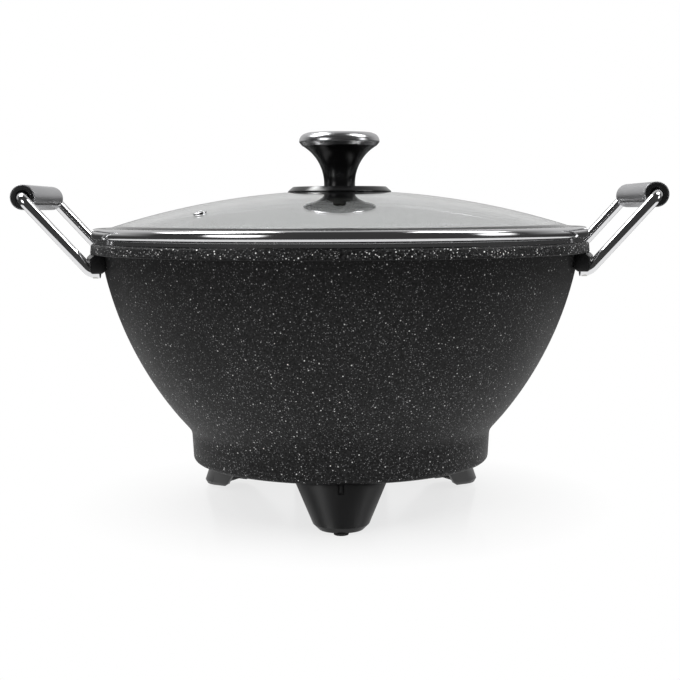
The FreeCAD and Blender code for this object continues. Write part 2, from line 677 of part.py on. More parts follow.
right_run, right_bend, right_end = cold_end(1)
left_run, left_bend, left_end = cold_end(-1)
ring_front = polar(size("element_ring"), -math.pi / 2, size("element_height"))
spine = Part.Wire([right_run, right_bend, Part.Arc(right_end, ring_front, left_end).toShape(),
                   left_bend, left_run])
section = Part.Circle(right_run.Vertexes[0].Point, Vector(0, 0, 1), size("element_tube")).toShape()
shaped("heating_element", spine.makePipeShell([Part.Wire(section)], True, False))

# Bottom cover: a pressed steel disc on the casting's ledge, with a stiffening bead.
cover = new_body("bottom_cover")
profile = Outline(cover, "cover_profile").path(
    ("0", "base_bottom"),
    ("bead_in", "base_bottom"),
    ("bead_in + bead_slope", "base_bottom + bead_height"),
    ("bead_out - bead_slope", "base_bottom + bead_height"),
    ("bead_out", "base_bottom"),
    ("base_inside - fit_gap", "base_bottom"),
    ("base_inside - fit_gap", "cover_top"),
    ("bead_out", "cover_top"),
    ("bead_out - bead_slope", "cover_top + bead_height"),
    ("bead_in + bead_slope", "cover_top + bead_height"),
    ("bead_in", "cover_top"),
    ("0", "cover_top"))
revolve(cover, profile.close())
holes = Outline(cover, "cover_holes", "XY_Plane", "base_bottom")
holes.circles([(x, y, "screw_hole") for x, y in foot_screws + housing_screws + [("0", "0")]])
feature(cover, "Pocket", "screw_holes", holes.sketch, Length="cover_thickness*2", Reversed=True)
opening = Outline(cover, "cover_opening", "XY_Plane", "base_bottom").path(
    ("-cavity_half", "chamber_front"), ("cavity_half", "chamber_front"),
    ("cavity_half", "terminal_wall_inner"), ("-cavity_half", "terminal_wall_inner"))
feature(cover, "Pocket", "terminal_opening", opening.close(), Length="cover_thickness*2", Reversed=True)


def screw(name, head, head_height, shank, length, place):
    """A screw whose head hangs below its own origin and whose shank points to +Z."""
    return turned(name, [
        ("0", f"-{head_height}"),
        (f"{head}*0.75", f"-{head_height}"),
        (head, f"-{head_height}*0.55"),
        (head, "-fit_gap"),
        (shank, "-fit_gap"),
        (shank, f"{length} - {shank}*0.4"),
        (f"{shank}*0.6", length),
        ("0", length)], place)


def upright(x, y, height):
    return Placement(Vector(size(x), size(y), size(height)), Rotation())


gather("foot_screws", [
    screw(f"foot_screw_{number}", "screw_head", "screw_head_height", "screw_radius",
          "post_bottom + screw_grip - foot_top + foot_wall", upright(x, y, "foot_top - foot_wall"))
    for number, (x, y) in enumerate(foot_screws, 1)])
gather("housing_screws", [
    screw(f"housing_screw_{number}", "screw_head", "screw_head_height", "screw_radius",
          "post_bottom + screw_grip - housing_screw_seat", upright(x, y, "housing_screw_seat"))
    for number, (x, y) in enumerate(housing_screws, 1)])
screw("cover_screw", "screw_head", "screw_head_height", "screw_radius",
      "post_bottom + screw_grip - base_bottom", upright("0", "0", "base_bottom"))


def at_height(low, high, height):
    """A foot's size at a height, between its value at the bottom and at the top."""
    return f"({low} + ({high} - {low})*(({height}) - foot_bottom)/(foot_top - foot_bottom))"


def foot_outline(body, name, height, inset="0", inner_inset="0"):
    """The foot's outline at a height: two side wings and a rounded outer face."""
    inner = at_height("foot_inner", "foot_top_inner", height)
    shoulder = at_height("foot_shoulder", "foot_top_shoulder", height)
    reach = f"({at_height('foot_reach', 'foot_top_reach', height)} - {inset})"
    half = f"({at_height('foot_half', 'foot_top_half', height)} - {inset})"
    depth = f"({reach} - {shoulder})"
    outline = Outline(body, name, "XY_Plane", height)
    outline.corner(f"{inner} + {inner_inset}", f"-{half}").corner(shoulder, f"-{half}")
    outline.bow(f"({depth}^2 + {half}^2)/(2*{depth})", -1)
    outline.corner(shoulder, half).corner(f"{inner} + {inner_inset}", half)
    return outline.close()


def foot(name, angle):
    """A hollow moulded foot, open towards the middle, that splays and narrows downwards."""
    body = new_body(name, turn_about_z(angle))
    lower = foot_outline(body, name + "_sole", "foot_bottom", "foot_bevel", "foot_bevel")
    bevel = foot_outline(body, name + "_bevel", "foot_bottom + foot_round")
    upper = foot_outline(body, name + "_head", "foot_top")
    feature(body, "AdditiveLoft", name + "_shell", lower, Sections=[bevel, upper], Ruled=True)
    clip = Outline(body, name + "_clip", "YZ_Plane", "foot_reach").path(
        ("-notch_half", "foot_top + foot_wall"), ("-notch_half", "foot_top - notch_depth"),
        ("notch_half", "foot_top - notch_depth"), ("notch_half", "foot_top + foot_wall"),
        ("tongue_half", "foot_top + foot_wall"), ("tongue_half", "foot_top - tongue_length"),
        ("-tongue_half", "foot_top - tongue_length"), ("-tongue_half", "foot_top + foot_wall"))
    feature(body, "Pocket", name + "_clip_slot", clip.close(), Length="foot_splay + foot_wall*2")
    core = foot_outline(body, name + "_core_low", "foot_bottom + foot_round", "notch_cut", "foot_wall")
    crown = foot_outline(body, name + "_core_high", "foot_top", "notch_cut", "foot_wall")
    feature(body, "AdditiveLoft", name + "_slot_floor", core, Sections=[crown], Ruled=True)
    hollow = foot_outline(body, name + "_hollow_low", "sole_top", "foot_wall", "-foot_wall*3")
    roof = foot_outline(body, name + "_hollow_high", "foot_top - foot_wall", "foot_wall", "-foot_wall*3")
    feature(body, "SubtractiveLoft", name + "_hollow", hollow, Sections=[roof], Ruled=True)

    window = Outline(body, name + "_window", "XY_Plane", "sole_top + fit_gap").path(
        ("foot_inner - foot_wall*3", "-(foot_half - foot_wall)"),
        ("foot_sole_inner", "-(foot_half - foot_wall)"),
        ("foot_sole_inner", "foot_half - foot_wall"),
        ("foot_inner - foot_wall*3", "foot_half - foot_wall"))
    feature(body, "Pocket", name + "_open_sole", window.close(), Length="foot_wall*2")
    holes = Outline(body, name + "_holes", "XY_Plane", "foot_top")
    holes.circles([("foot_screw_out", "foot_screw_side", "screw_hole"),
                   ("foot_screw_out", "-foot_screw_side", "screw_hole")])
    feature(body, "Pocket", name + "_screw_holes", holes.sketch, Length="foot_wall*1.5")
    seat = Outline(body, name + "_pad_hole", "XY_Plane", "sole_top + fit_gap")
    seat.circles([("pad_out", "0", "pad_stem + fit_gap")])
    feature(body, "Pocket", name + "_pad_seat", seat.sketch, Length="foot_wall*2")



for place, angle in FOOT_ANGLES.items():
    foot("foot_" + place, angle)
    turned("foot_pad_" + place, [
        ("0", "0"), ("pad_radius - pad_edge", "0"), ("pad_radius", "pad_edge"),
        ("pad_radius", "foot_bottom - fit_gap"), ("pad_stem", "foot_bottom - fit_gap"),
        ("pad_stem", "sole_top"), ("0", "sole_top")],
        Placement(polar(size("pad_out"), math.radians(angle)), Rotation()))

# Socket housing: a moulded box below the back of the base, open to the rear for the plug.
housing = new_body("socket_housing")
block = Outline(housing, "housing_outline", "XY_Plane", "housing_bottom")
block.path(("-housing_half", "housing_front"), ("housing_half", "housing_front"),
           ("housing_half", "housing_side"))
block.bow("(housing_curve^2 + housing_half^2)/(2*housing_curve)", -1)
block.corner("-housing_half", "housing_side")
feature(housing, "Pad", "housing_block", block.close(), Length="foot_top - housing_bottom")


def inner_upright(edge):
    """Whether an edge is one of the two upright ones at the housing's inner end."""
    ends = [vertex.Point for vertex in edge.Vertexes]
    at_front = all(abs(end.y - size("housing_front")) < 0.01 for end in ends)
    return len(ends) == 2 and at_front and abs(ends[0].x - ends[1].x) < 0.01


round_edges(housing, "housing_rounding", "housing_round", inner_upright)
mouth = Outline(housing, "mouth_outline", "XZ_Plane", "-(terminal_face)").path(
    ("-cavity_half", "cavity_bottom"), ("cavity_half", "cavity_bottom"),
    ("cavity_half", "cavity_top"), ("-cavity_half", "cavity_top"))
feature(housing, "Pocket", "plug_cavity", mouth.close(), Length="housing_back")
chamber = Outline(housing, "chamber_outline", "XY_Plane", "foot_top").path(
    ("-cavity_half", "chamber_front"), ("cavity_half", "chamber_front"),
    ("cavity_half", "terminal_wall_inner"), ("-cavity_half", "terminal_wall_inner"))
feature(housing, "Pocket", "terminal_chamber", chamber.close(), Length="foot_top - cavity_bottom")
ports = Outline(housing, "port_outlines", "XZ_Plane", "-(terminal_wall_inner - terminal_wall)")
ports.circles([("pin_side", "pin_height", "insulator_radius + fit_gap"),
               ("-pin_side", "pin_height", "insulator_radius + fit_gap"),
               ("0", "pin_height", "sensor_nose + fit_gap")])
feature(housing, "Pocket", "ports", ports.sketch, Length="terminal_wall*3")
wells = Outline(housing, "well_outlines", "XY_Plane", "housing_screw_seat")
wells.circles([(x, y, "housing_screw_well") for x, y in housing_screws])
feature(housing, "Pocket", "screw_wells", wells.sketch, Length="housing_screw_seat")
holes = Outline(housing, "housing_holes", "XY_Plane", "foot_top")
holes.circles([(x, y, "screw_hole") for x, y in housing_screws])
feature(housing, "Pocket", "housing_screw_holes", holes.sketch, Length="housing_screw_seat")

# Terminal pins, their ceramic bushes, the sensor block and the earth spring.
BACKWARDS = Rotation(SIDEWAYS, -90)
pin_sides = {"right": "pin_side", "left": "-pin_side"}


def facing_back(x):
    """At the pins' height, with the piece's own Z pointing to the back."""
    return Placement(Vector(size(x), 0, size("pin_height")), BACKWARDS)


gather("terminal_pins", [
    turned("terminal_pin_" + side, [
        ("0", "pin_inner"), ("pin_tail", "pin_inner"), ("pin_tail", "pin_shoulder"),
        ("pin_radius", "pin_shoulder"), ("pin_radius", "pin_tip - pin_bevel"),
        ("pin_radius - pin_bevel", "pin_tip"), ("0", "pin_tip")], facing_back(x))
    for side, x in pin_sides.items()])
gather("terminal_insulators", [
    turned("terminal_insulator_" + side, [
        ("pin_tail + fit_gap", "terminal_wall_inner"), ("insulator_radius", "terminal_wall_inner"),
        ("insulator_radius", "bush_face"), ("insulator_flange", "bush_face"),
        ("insulator_flange", "pin_shoulder - fit_gap"),
        ("pin_tail + fit_gap", "pin_shoulder - fit_gap")], facing_back(x))
    for side, x in pin_sides.items()])

sensor = new_body("sensor_block")
block = Outline(sensor, "sensor_outline", "XY_Plane", "sensor_bottom").path(
    ("-sensor_half", "sensor_start"), ("sensor_half", "sensor_start"),
    ("sensor_half", "terminal_wall_inner - fit_gap"), ("-sensor_half", "terminal_wall_inner - fit_gap"))
feature(sensor, "Pad", "sensor_post", block.close(), Length="underside - fit_gap - sensor_bottom")
nose = Outline(sensor, "nose_outline", "XZ_Plane", "-(terminal_wall_inner - terminal_wall)")
nose.circles([("0", "pin_height", "sensor_nose")])
feature(sensor, "Pad", "sensor_nose_bar", nose.sketch, Reversed=True,
        Length="sensor_tip - terminal_wall_inner + terminal_wall")
bore = Outline(sensor, "sensor_bore_outline", "XZ_Plane", "-(sensor_tip - sensor_bore_depth)")
bore.circles([("0", "pin_height", "sensor_bore")])
feature(sensor, "Pocket", "sensor_bore_cut", bore.sketch, Length="sensor_bore_depth*2")

earth = new_body("earth_spring")
strip = Outline(earth, "earth_profile", "YZ_Plane", "-earth_half").path(
    ("earth_start", "earth_top"),
    ("earth_start", "earth_under"),
    ("earth_bump_out - earth_bump_half", "earth_under"),
    ("earth_bump_out", "earth_under - earth_bump_depth"),
    ("earth_bump_out + earth_bump_half", "earth_under"),
    ("earth_end", "earth_under"),
    ("earth_end", "earth_top"),
    ("earth_bump_out + earth_bump_half", "earth_top"),
    ("earth_bump_out", "earth_top - earth_bump_depth"),
    ("earth_bump_out - earth_bump_half", "earth_top"))
feature(earth, "Pad", "earth_strip", strip.close(), Length="earth_half*2")


# Handle rod: one bent steel bar, from its tail under one lug through the grip to the other.
def bent_bar(points, bends, radius):
    """A round bar along straight runs through points, with a bend radius at each inner one."""
    edges = []
    start = points[0]
    for before, corner, after, bend in zip(points, points[1:], points[2:], bends):
        incoming = (corner - before).normalize()
        outgoing = (after - corner).normalize()
        half_turn = incoming.getAngle(outgoing) / 2
        first = corner - incoming * bend * math.tan(half_turn)
        last = corner + outgoing * bend * math.tan(half_turn)
        towards = (outgoing - incoming).normalize()
        middle = corner + towards * bend * (1 / math.cos(half_turn) - 1)
        edges.append(Part.LineSegment(start, first).toShape())
        edges.append(Part.Arc(first, middle, last).toShape())
        start = last
    edges.append(Part.LineSegment(start, points[-1]).toShape())
    section = Part.Circle(points[0], points[1] - points[0], radius).toShape()
    return Part.Wire(edges).makePipeShell([Part.Wire(section)], True, False)


rod_route = [("rod_end", "rod_tail_height"), ("rod_corner", "rod_tail_height"), ("grip_out", "grip_height")]
rear_points = [Vector(size(out), size("rod_side"), size(height)) for out, height in rod_route]
front_points = [Vector(point.x, -point.y, point.z) for point in reversed(rear_points)]
rod_bends = [size(name) for name in ("rod_tail_bend", "rod_bend", "rod_bend", "rod_tail_bend")]
rod_blank = shaped("rod_blank", bent_bar(rear_points + front_points, rod_bends, size("rod_radius")))
rod_space = shaped("rod_space", bent_bar(rear_points + front_points, rod_bends,
                                         size("rod_radius + seat_gap")))


def clamp_place(side, height):
    return Placement(Vector(size("clamp_out"), side * size("rod_side"), size(height)), Rotation())


clamp_seat = "rod_tail_height - rod_radius + clamp_head_height"
drills = []
for number, side in ((1, -1), (2, 1)):
    drills.append(cylinder(f"clamp_drill_{number}", "clamp_shank + fit_gap", "clamp_length",
                           clamp_place(side, clamp_seat)))
    drills.append(cylinder(f"clamp_sink_{number}", "clamp_head + seat_gap", "rod_radius + clamp_head_height",
                           clamp_place(side, "rod_tail_height - rod_radius*2")))
rod_right = cut("handle_rod_right", rod_blank, drills)
mirrored("handle_rod_left", rod_right, SIDEWAYS)

# Handle lug: a block that hugs the wall below the rim band and holds the rod's tail.
top_radius = wall_radius(size("lug_top"), size("wall_curve")) + size("seat_gap")
bottom_radius = wall_radius(size("lug_bottom"), size("wall_curve")) + size("seat_gap")
lug_lean = (top_radius - bottom_radius) / size("lug_height")
lug = new_body("lug_blank", turn_about_z(size("lug_start")))
profile = Outline(lug, "lug_profile").path(
    (bottom_radius + size("lug_inner_bevel*1.5"), "lug_bottom"),
    ("lug_radius - lug_bottom_bevel", "lug_bottom"),
    ("lug_radius", "lug_bottom + lug_bottom_bevel"),
    ("lug_radius", "lug_top - lug_top_bevel"),
    ("lug_radius - lug_top_bevel", "lug_top"),
    (top_radius, "lug_top"),
    (bottom_radius + size("lug_inner_bevel") * lug_lean, "lug_bottom + lug_inner_bevel"))
revolve(lug, profile.close(), angle="lug_sweep")
clamp_drill = cylinder("clamp_drill_lug", "clamp_shank + fit_gap", "clamp_length", clamp_place(1, clamp_seat))
bolt_drill = cylinder("bolt_drill_lug", "bolt_shank + fit_gap", "bolt_reach + wall",
                      bolt_place(size("bolt_angle"), "bolt_reach + seat_gap"))
lug_right_rear = cut("handle_lug_right_rear", lug, [rod_space, clamp_drill, bolt_drill])
lug_right_front = mirrored("handle_lug_right_front", lug_right_rear, LENGTHWAYS)
mirrored("handle_lug_left_rear", lug_right_rear, SIDEWAYS)
mirrored("handle_lug_left_front", lug_right_front, SIDEWAYS)

gather("handle_bolts", [
    turned(f"handle_bolt_{number}", [
        ("0", "-bolt_reach"), ("bolt_shank", "-bolt_reach"), ("bolt_shank", "bolt_seat"),
        ("bolt_head", "bolt_seat"), ("bolt_head", "bolt_seat + bolt_head_height*0.4"),
        ("bolt_head*0.7", "bolt_seat + bolt_head_height"),
        ("0", "bolt_seat + bolt_head_height")], bolt_place(angle))
    for number, angle in enumerate(bolt_angles, 1)])
gather("handle_screws", [
    screw(f"handle_screw_{number}", "clamp_head", "clamp_head_height", "clamp_shank",
          "clamp_length - fit_gap", turn_about_z(turn).multiply(clamp_place(side, clamp_seat)))
    for number, (turn, side) in enumerate(((0, -1), (0, 1), (180, -1), (180, 1)), 1)])

# Grip: a moulded core on the rod, in a rolled steel sleeve whose seam faces down and inwards.
grip_centre = Vector(size("grip_out"), 0, size("grip_height"))
core = turned("grip_core_right", [
    ("rod_radius + fit_gap", "-(grip_half - grip_mouth_depth)"), ("rod_radius + grip_flare", "-grip_half"),
    ("core_radius", "-grip_half"), ("core_radius", "grip_half"),
    ("rod_radius + grip_flare", "grip_half"), ("rod_radius + fit_gap", "grip_half - grip_mouth_depth")],
    Placement(grip_centre, BACKWARDS))
mirrored("grip_core_left", core, SIDEWAYS)
sleeve = new_body("grip_sleeve_right", Placement(grip_centre, Rotation()))
tube = Outline(sleeve, "sleeve_section")
tube.circles([("0", "0", "grip_radius"), ("0", "0", "grip_radius - grip_sheet")])
feature(sleeve, "Pad", "sleeve_tube", tube.sketch, Length="grip_half*2", SideType="Symmetric")
seam_angle = math.pi + math.radians(size("grip_slit_angle"))
seam_out = polar(size("grip_radius*1.2"), seam_angle)
seam_in = polar(size("(grip_radius - grip_sheet)*0.9"), seam_angle)
across = polar(size("grip_slit/2"), seam_angle + math.pi / 2)
seam_corners = (seam_in - across, seam_in + across, seam_out + across, seam_out - across)
seam = Outline(sleeve, "seam_section").path(*[(corner.x, corner.y) for corner in seam_corners])
feature(sleeve, "Pocket", "seam", seam.close(), Length="grip_half*3", SideType="Symmetric")
mirrored("grip_sleeve_left", sleeve, SIDEWAYS)


# Lid glass: a tempered dome with a level brim, drilled for the knob and the steam vent.
def dome(radius, drop="0"):
    """Height of the glass's top, or of a surface a drop below it, at a radius."""
    return f"(lid_top - dome_curve + sqrt((dome_curve - ({drop}))^2 - ({radius})^2))"


glass = new_body("glass_blank")
outline = Outline(glass, "glass_profile")
outline.corner("glass_hole", dome("glass_hole", "glass")).bow("dome_curve - glass", 1)
outline.corner("dome_end", dome("dome_end", "glass"))
outline.corner("dome_end + 0.5", "brim_bottom")
outline.corner("brim_edge - glass_edge_bevel*0.4", "brim_bottom")
outline.corner("brim_edge", "brim_bottom + glass_edge_bevel*0.4")
outline.corner("brim_edge", "brim_top - glass_edge_bevel")
outline.corner("brim_edge - glass_edge_bevel", "brim_top")
outline.corner("dome_end + 0.5", "brim_top")
outline.corner("dome_end", dome("dome_end")).bow("dome_curve", -1)
outline.corner("glass_hole", dome("glass_hole"))
revolve(glass, outline.close())
vent_radius = math.hypot(size("vent_side"), size("vent_front"))
vent_point = Vector(size("vent_side"), size("vent_front"), size(dome("sqrt(vent_side^2 + vent_front^2)")))
vent_lean = Rotation(Vector(0, 0, 1), vent_point - Vector(0, 0, size("lid_top - dome_curve")))
vent_place = Placement(vent_point, vent_lean)
through = Placement(Vector(0, 0, -size("glass*2")), Rotation())
vent_drill = cylinder("vent_drill", "vent_tube + seat_gap", "glass*3", vent_place.multiply(through))
cut("lid_glass", glass, [vent_drill])
turned("steam_vent", [
    ("vent_bore", "-(glass + seat_gap + vent_sheet)"),
    ("vent_flange - seat_gap*2", "-(glass + seat_gap + vent_sheet)"),
    ("vent_flange - seat_gap*2", "-(glass + seat_gap)"),
    ("vent_tube", "-(glass + seat_gap)"), ("vent_tube", "seat_gap"), ("vent_flange", "seat_gap"),
    ("vent_flange", "seat_gap + vent_sheet*0.5"),
    ("vent_flange - vent_sheet*0.6", "seat_gap + vent_sheet"),
    ("vent_bore", "seat_gap + vent_sheet")], vent_place)

# Lid ring: rolled from one steel strip, with a bead round the glass and a lip into the bowl.
ring = new_body("lid_ring")
outline = Outline(ring, "ring_profile")
outline.corner("ring_inner", "ring_top - ring_sheet").corner("ring_inner", "ring_top")
outline.corner("ring_radius - ring_round", "ring_top").bow("ring_round", 1)
outline.corner("ring_radius", "ring_top - ring_round")
outline.corner("ring_radius", "ring_bottom + ring_under_round").bow("ring_under_round", 1)
outline.corner("ring_radius - ring_under_round", "ring_bottom")
outline.corner("ring_skirt", "ring_bottom").corner("ring_skirt", "ring_seat")
outline.corner("lip_radius", "ring_seat").corner("lip_radius", "rim_top - lip_drop")
outline.corner("lip_radius - ring_sheet", "rim_top - lip_drop")
outline.corner("lip_radius - ring_sheet", "ring_seat + ring_sheet")
outline.corner("ring_skirt - ring_sheet", "ring_seat + ring_sheet")
outline.corner("ring_skirt - ring_sheet", "ring_bottom").corner("ring_hem_inner", "ring_bottom")
outline.corner("ring_hem_inner", "hem_top").corner("ring_inside", "hem_top")
outline.corner("ring_inside", "ring_top - ring_round*0.8")
outline.corner("ring_inside - ring_round*0.6", "ring_top - ring_sheet")
revolve(ring, outline.close())

# Knob: base disc, flared body with a brass insert, steel cap, and the screw from below.
disc = new_body("knob_disc")
outline = Outline(disc, "disc_profile")
outline.corner("disc_bore", dome("disc_bore", "-fit_gap")).bow("dome_curve + fit_gap", 1)
outline.corner("disc_radius", dome("disc_radius", "-fit_gap"))
outline.corner("disc_radius", f"{dome('disc_radius')} + fit_gap + disc_edge")
outline.corner("disc_top_radius", "disc_top")
outline.corner("neck_radius + seat_gap", "disc_top")
outline.corner("neck_radius + seat_gap", "socket_floor")
outline.corner("disc_bore", "socket_floor")
revolve(disc, outline.close())

knob = new_body("knob_body")
outline = Outline(knob, "knob_profile")
outline.corner("insert_radius + fit_gap", "knob_foot").corner("neck_radius", "knob_foot")
outline.corner("neck_radius", "neck_top").bow("flare_curve", 1)
outline.corner("flare_radius", "flare_top")
outline.corner("spigot_radius", "flare_top + cap_gap*0.6")
outline.corner("spigot_radius", "cap_bottom + spigot_height")
outline.corner("0", "cap_bottom + spigot_height")
outline.corner("0", "insert_end + fit_gap")
outline.corner("insert_radius + fit_gap", "insert_end + fit_gap")
revolve(knob, outline.close())

turned("knob_insert", [
    ("knob_screw_radius + fit_gap", "knob_foot"), ("insert_radius", "knob_foot"),
    ("insert_radius", "insert_end"), ("knob_screw_radius + fit_gap", "insert_end")])
turned("knob_cap", [
    ("0", "cap_inside"), ("cap_edge_radius - cap_wall", "cap_inside"),
    ("cap_edge_radius - cap_wall", "cap_bottom"), ("cap_edge_radius", "cap_bottom"),
    ("cap_radius", "cap_widest"), ("cap_radius", "cap_widest + cap_band"),
    ("cap_top_radius", "cap_shoulder"), ("cap_top_radius - cap_crown*2", "cap_top - cap_crown/4"),
    ("cap_top_radius*0.5", "cap_top"), ("0", "cap_top")])
gasket_top = f"({dome('gasket_radius', 'glass')} - fit_gap)"
gasket_bottom = f"({gasket_top} - gasket_height)"
washer_top = f"({gasket_bottom} - fit_gap)"
head_top = f"({washer_top} - washer_height - fit_gap)"
screw_bore = "(knob_screw_radius + seat_gap)"
turned("knob_gasket", [
    (screw_bore, gasket_bottom), ("gasket_radius", gasket_bottom),
    ("gasket_radius", gasket_top), ("glass_hole - seat_gap", gasket_top),
    ("glass_hole - seat_gap", f"{gasket_top} + glass*0.9"), (screw_bore, f"{gasket_top} + glass*0.9")])
turned("knob_washer", [
    (screw_bore, f"{washer_top} - washer_height"), ("washer_radius", f"{washer_top} - washer_height"),
    ("washer_radius", washer_top), (screw_bore, washer_top)])
screw("knob_screw", "knob_screw_head", "knob_screw_head_height", "knob_screw_radius",
      f"knob_foot + knob_screw_grip - {head_top}", Placement(Vector(0, 0, size(head_top)), Rotation()))

NODES = """
wok_bowl heating_element bottom_cover cover_screw sensor_block socket_housing housing_screws
terminal_pins terminal_insulators earth_spring foot_front foot_rear_right foot_rear_left
foot_screws foot_pad_front foot_pad_rear_right foot_pad_rear_left
handle_lug_right_rear handle_lug_right_front handle_lug_left_rear handle_lug_left_front
handle_rod_right handle_rod_left grip_core_right grip_core_left grip_sleeve_right
grip_sleeve_left handle_bolts handle_screws
lid_glass lid_ring steam_vent knob_disc knob_body knob_insert knob_cap knob_gasket
knob_washer knob_screw
""".split()

doc.recompute()
for item in doc.Objects:
    if "Invalid" in item.State or "Error" in item.State:
        raise RuntimeError(f"{item.Label} failed: {item.State}")
os.makedirs("parts", exist_ok=True)
for node in NODES:
    shape = doc.getObjectsByLabel(node)[0].Shape
    if shape.isNull() or not shape.isValid() or not shape.Solids:
        raise RuntimeError(f"{node} has no valid solid")
    shape.exportStep(f"parts/{node}.step")
    box = shape.BoundBox
    print(f"{node}: {len(shape.Solids)} solids, {shape.Volume:.0f} mm3, "
          f"x {box.XMin:.2f} {box.XMax:.2f}, y {box.YMin:.2f} {box.YMax:.2f}, z {box.ZMin:.2f} {box.ZMax:.2f}")
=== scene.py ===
import math

import bmesh
import bpy
from mathutils import Matrix, Vector


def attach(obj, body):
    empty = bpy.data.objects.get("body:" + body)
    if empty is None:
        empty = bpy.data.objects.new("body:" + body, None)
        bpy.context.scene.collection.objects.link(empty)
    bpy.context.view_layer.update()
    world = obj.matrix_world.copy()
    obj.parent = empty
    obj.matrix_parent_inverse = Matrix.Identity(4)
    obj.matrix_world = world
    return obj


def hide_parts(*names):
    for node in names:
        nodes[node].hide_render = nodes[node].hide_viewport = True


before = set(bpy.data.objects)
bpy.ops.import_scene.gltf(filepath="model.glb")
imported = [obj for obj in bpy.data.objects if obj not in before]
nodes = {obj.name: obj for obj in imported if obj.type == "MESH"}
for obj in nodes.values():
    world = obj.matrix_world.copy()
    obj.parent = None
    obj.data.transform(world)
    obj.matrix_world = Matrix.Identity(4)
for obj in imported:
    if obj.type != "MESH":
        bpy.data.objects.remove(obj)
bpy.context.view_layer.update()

# ---------------------------------------------------------------------------------------------
# The studio: the camera stands 87 cm in front of the wok, just above its rim, and looks a
# little down. The wok stands on a round white table, lit by three soft lamps above it and
# three weak ones low in front. The room is dim in front, as polished steel shows.

bpy.ops.object.select_all(action="DESELECT")
bpy.ops.object.camera_add()
camera = bpy.context.object
camera.matrix_world = (Matrix.Translation((-0.0002, -0.873, 0.191))
                       @ Matrix.Rotation(math.radians(84.4), 4, "X")
                       @ Matrix.Rotation(math.radians(-0.28), 4, "Z"))
camera.data.sensor_width = 36
camera.data.lens = 70.44
camera.data.clip_start = 0.01
bpy.context.scene.camera = camera
bpy.context.scene.view_settings.view_transform = "Standard"


class Field:
    """A value that varies from place to place; sums of fields and numbers add their nodes."""

    def __init__(self, finish, socket):
        self.finish = finish
        self.socket = socket

    def _sum(self, operation, first, second):
        return self.finish.node("ShaderNodeMath", {"operation": operation}, {0: first, 1: second})

    def __add__(self, other):
        return self._sum("ADD", self, other)

    __radd__ = __add__

    def __sub__(self, other):
        return self._sum("SUBTRACT", self, other)

    def __rsub__(self, other):
        return self._sum("SUBTRACT", other, self)

    def __mul__(self, other):
        return self._sum("MULTIPLY", self, other)

    __rmul__ = __mul__

    def __truediv__(self, other):
        return self._sum("DIVIDE", self, other)

    def above(self, limit):
        return self._sum("GREATER_THAN", self, limit)

    def most(self, other):
        return self._sum("MAXIMUM", self, other)

    def held(self):
        """The field, held between 0 and 1."""
        return self.finish.node("ShaderNodeClamp", {}, {"Value": self})

    def beside(self, output):
        """Another output of the node that this field comes from."""
        return Field(self.finish, self.socket.node.outputs[output])


class Finish:
    """The nodes of a material or of the room's light."""

    def __init__(self, owner):
        owner.use_nodes = True
        self.owner = owner
        self.tree = owner.node_tree

    def node(self, kind, settings, inputs, output=0):
        made = self.tree.nodes.new(kind)
        for name, value in settings.items():
            setattr(made, name, value)
        for socket, value in inputs.items():
            self.join(value, made.inputs[socket])
        return Field(self, made.outputs[output])

    def join(self, value, socket):
        if isinstance(value, Field):
            self.tree.links.new(value.socket, socket)
        else:
            socket.default_value = value

    def place(self):
        return self.node("ShaderNodeTexCoord", {}, {}, "Object")

    def noise(self, per_metre, detail=2, roughness=0.5, place=None):
        return self.node("ShaderNodeTexNoise", {},
                         {"Vector": place or self.place(), "Scale": per_metre,
                          "Detail": detail, "Roughness": roughness})

    def tint(self, mask, first, second):
        """The first colour where the mask is 0, the second where it is 1."""
        mixed = self.node("ShaderNodeMix", {"data_type": "RGBA"}, {0: mask}, 2)
        for index, colour in ((6, first), (7, second)):
            wanted = colour if isinstance(colour, Field) else (*colour, 1)
            self.join(wanted, mixed.socket.node.inputs[index])
        return mixed

    def relief(self, height, depth, strength=1.0):
        """Turn a height between 0 and 1 into bumps of a depth in metres."""
        return self.node("ShaderNodeBump", {},
                         {"Strength": strength, "Distance": depth, "Height": height})


def surface(name, colour, roughness, metallic=0.0, **sockets):
    """A material with one surface shader, and the values that are the same all over it."""
    finish = Finish(bpy.data.materials.new(name))
    finish.shader = finish.tree.nodes["Principled BSDF"]
    values = {"Base Color": (*colour, 1), "Roughness": roughness, "Metallic": metallic}
    values.update({key.replace("_", " "): value for key, value in sockets.items()})
    for socket, value in values.items():
        finish.shader.inputs[socket].default_value = value
    return finish


def vary(finish, **fields):
    for socket, field in fields.items():
        finish.join(field, finish.shader.inputs[socket.replace("_", " ")])
    return finish.owner


def seen_rays(finish):
    """1 for what the camera sees straight, in a mirror or through glass, else 0."""
    path = finish.node("ShaderNodeLightPath", {}, {}, "Is Camera Ray")
    return path.most(path.beside("Is Glossy Ray")).most(path.beside("Is Transmission Ray"))


bpy.ops.object.select_all(action="DESELECT")
bpy.ops.mesh.primitive_circle_add(vertices=96, radius=0.62, fill_type="NGON")
table = bpy.context.object
table.name = "studio_table"
white_table = Finish(bpy.data.materials.new("white_table"))
place = white_table.place()
reach = white_table.node("ShaderNodeVectorMath", {"operation": "LENGTH"}, {0: place}, "Value")
paper = white_table.tree.nodes["Principled BSDF"]
paper.inputs["Base Color"].default_value = (0.62, 0.62, 0.62, 1)
paper.inputs["Roughness"].default_value = 0.16
paper.inputs["Specular IOR Level"].default_value = 0.5
glow = white_table.node("ShaderNodeEmission", {}, {"Color": (1, 1, 1, 1), "Strength": 1.0})

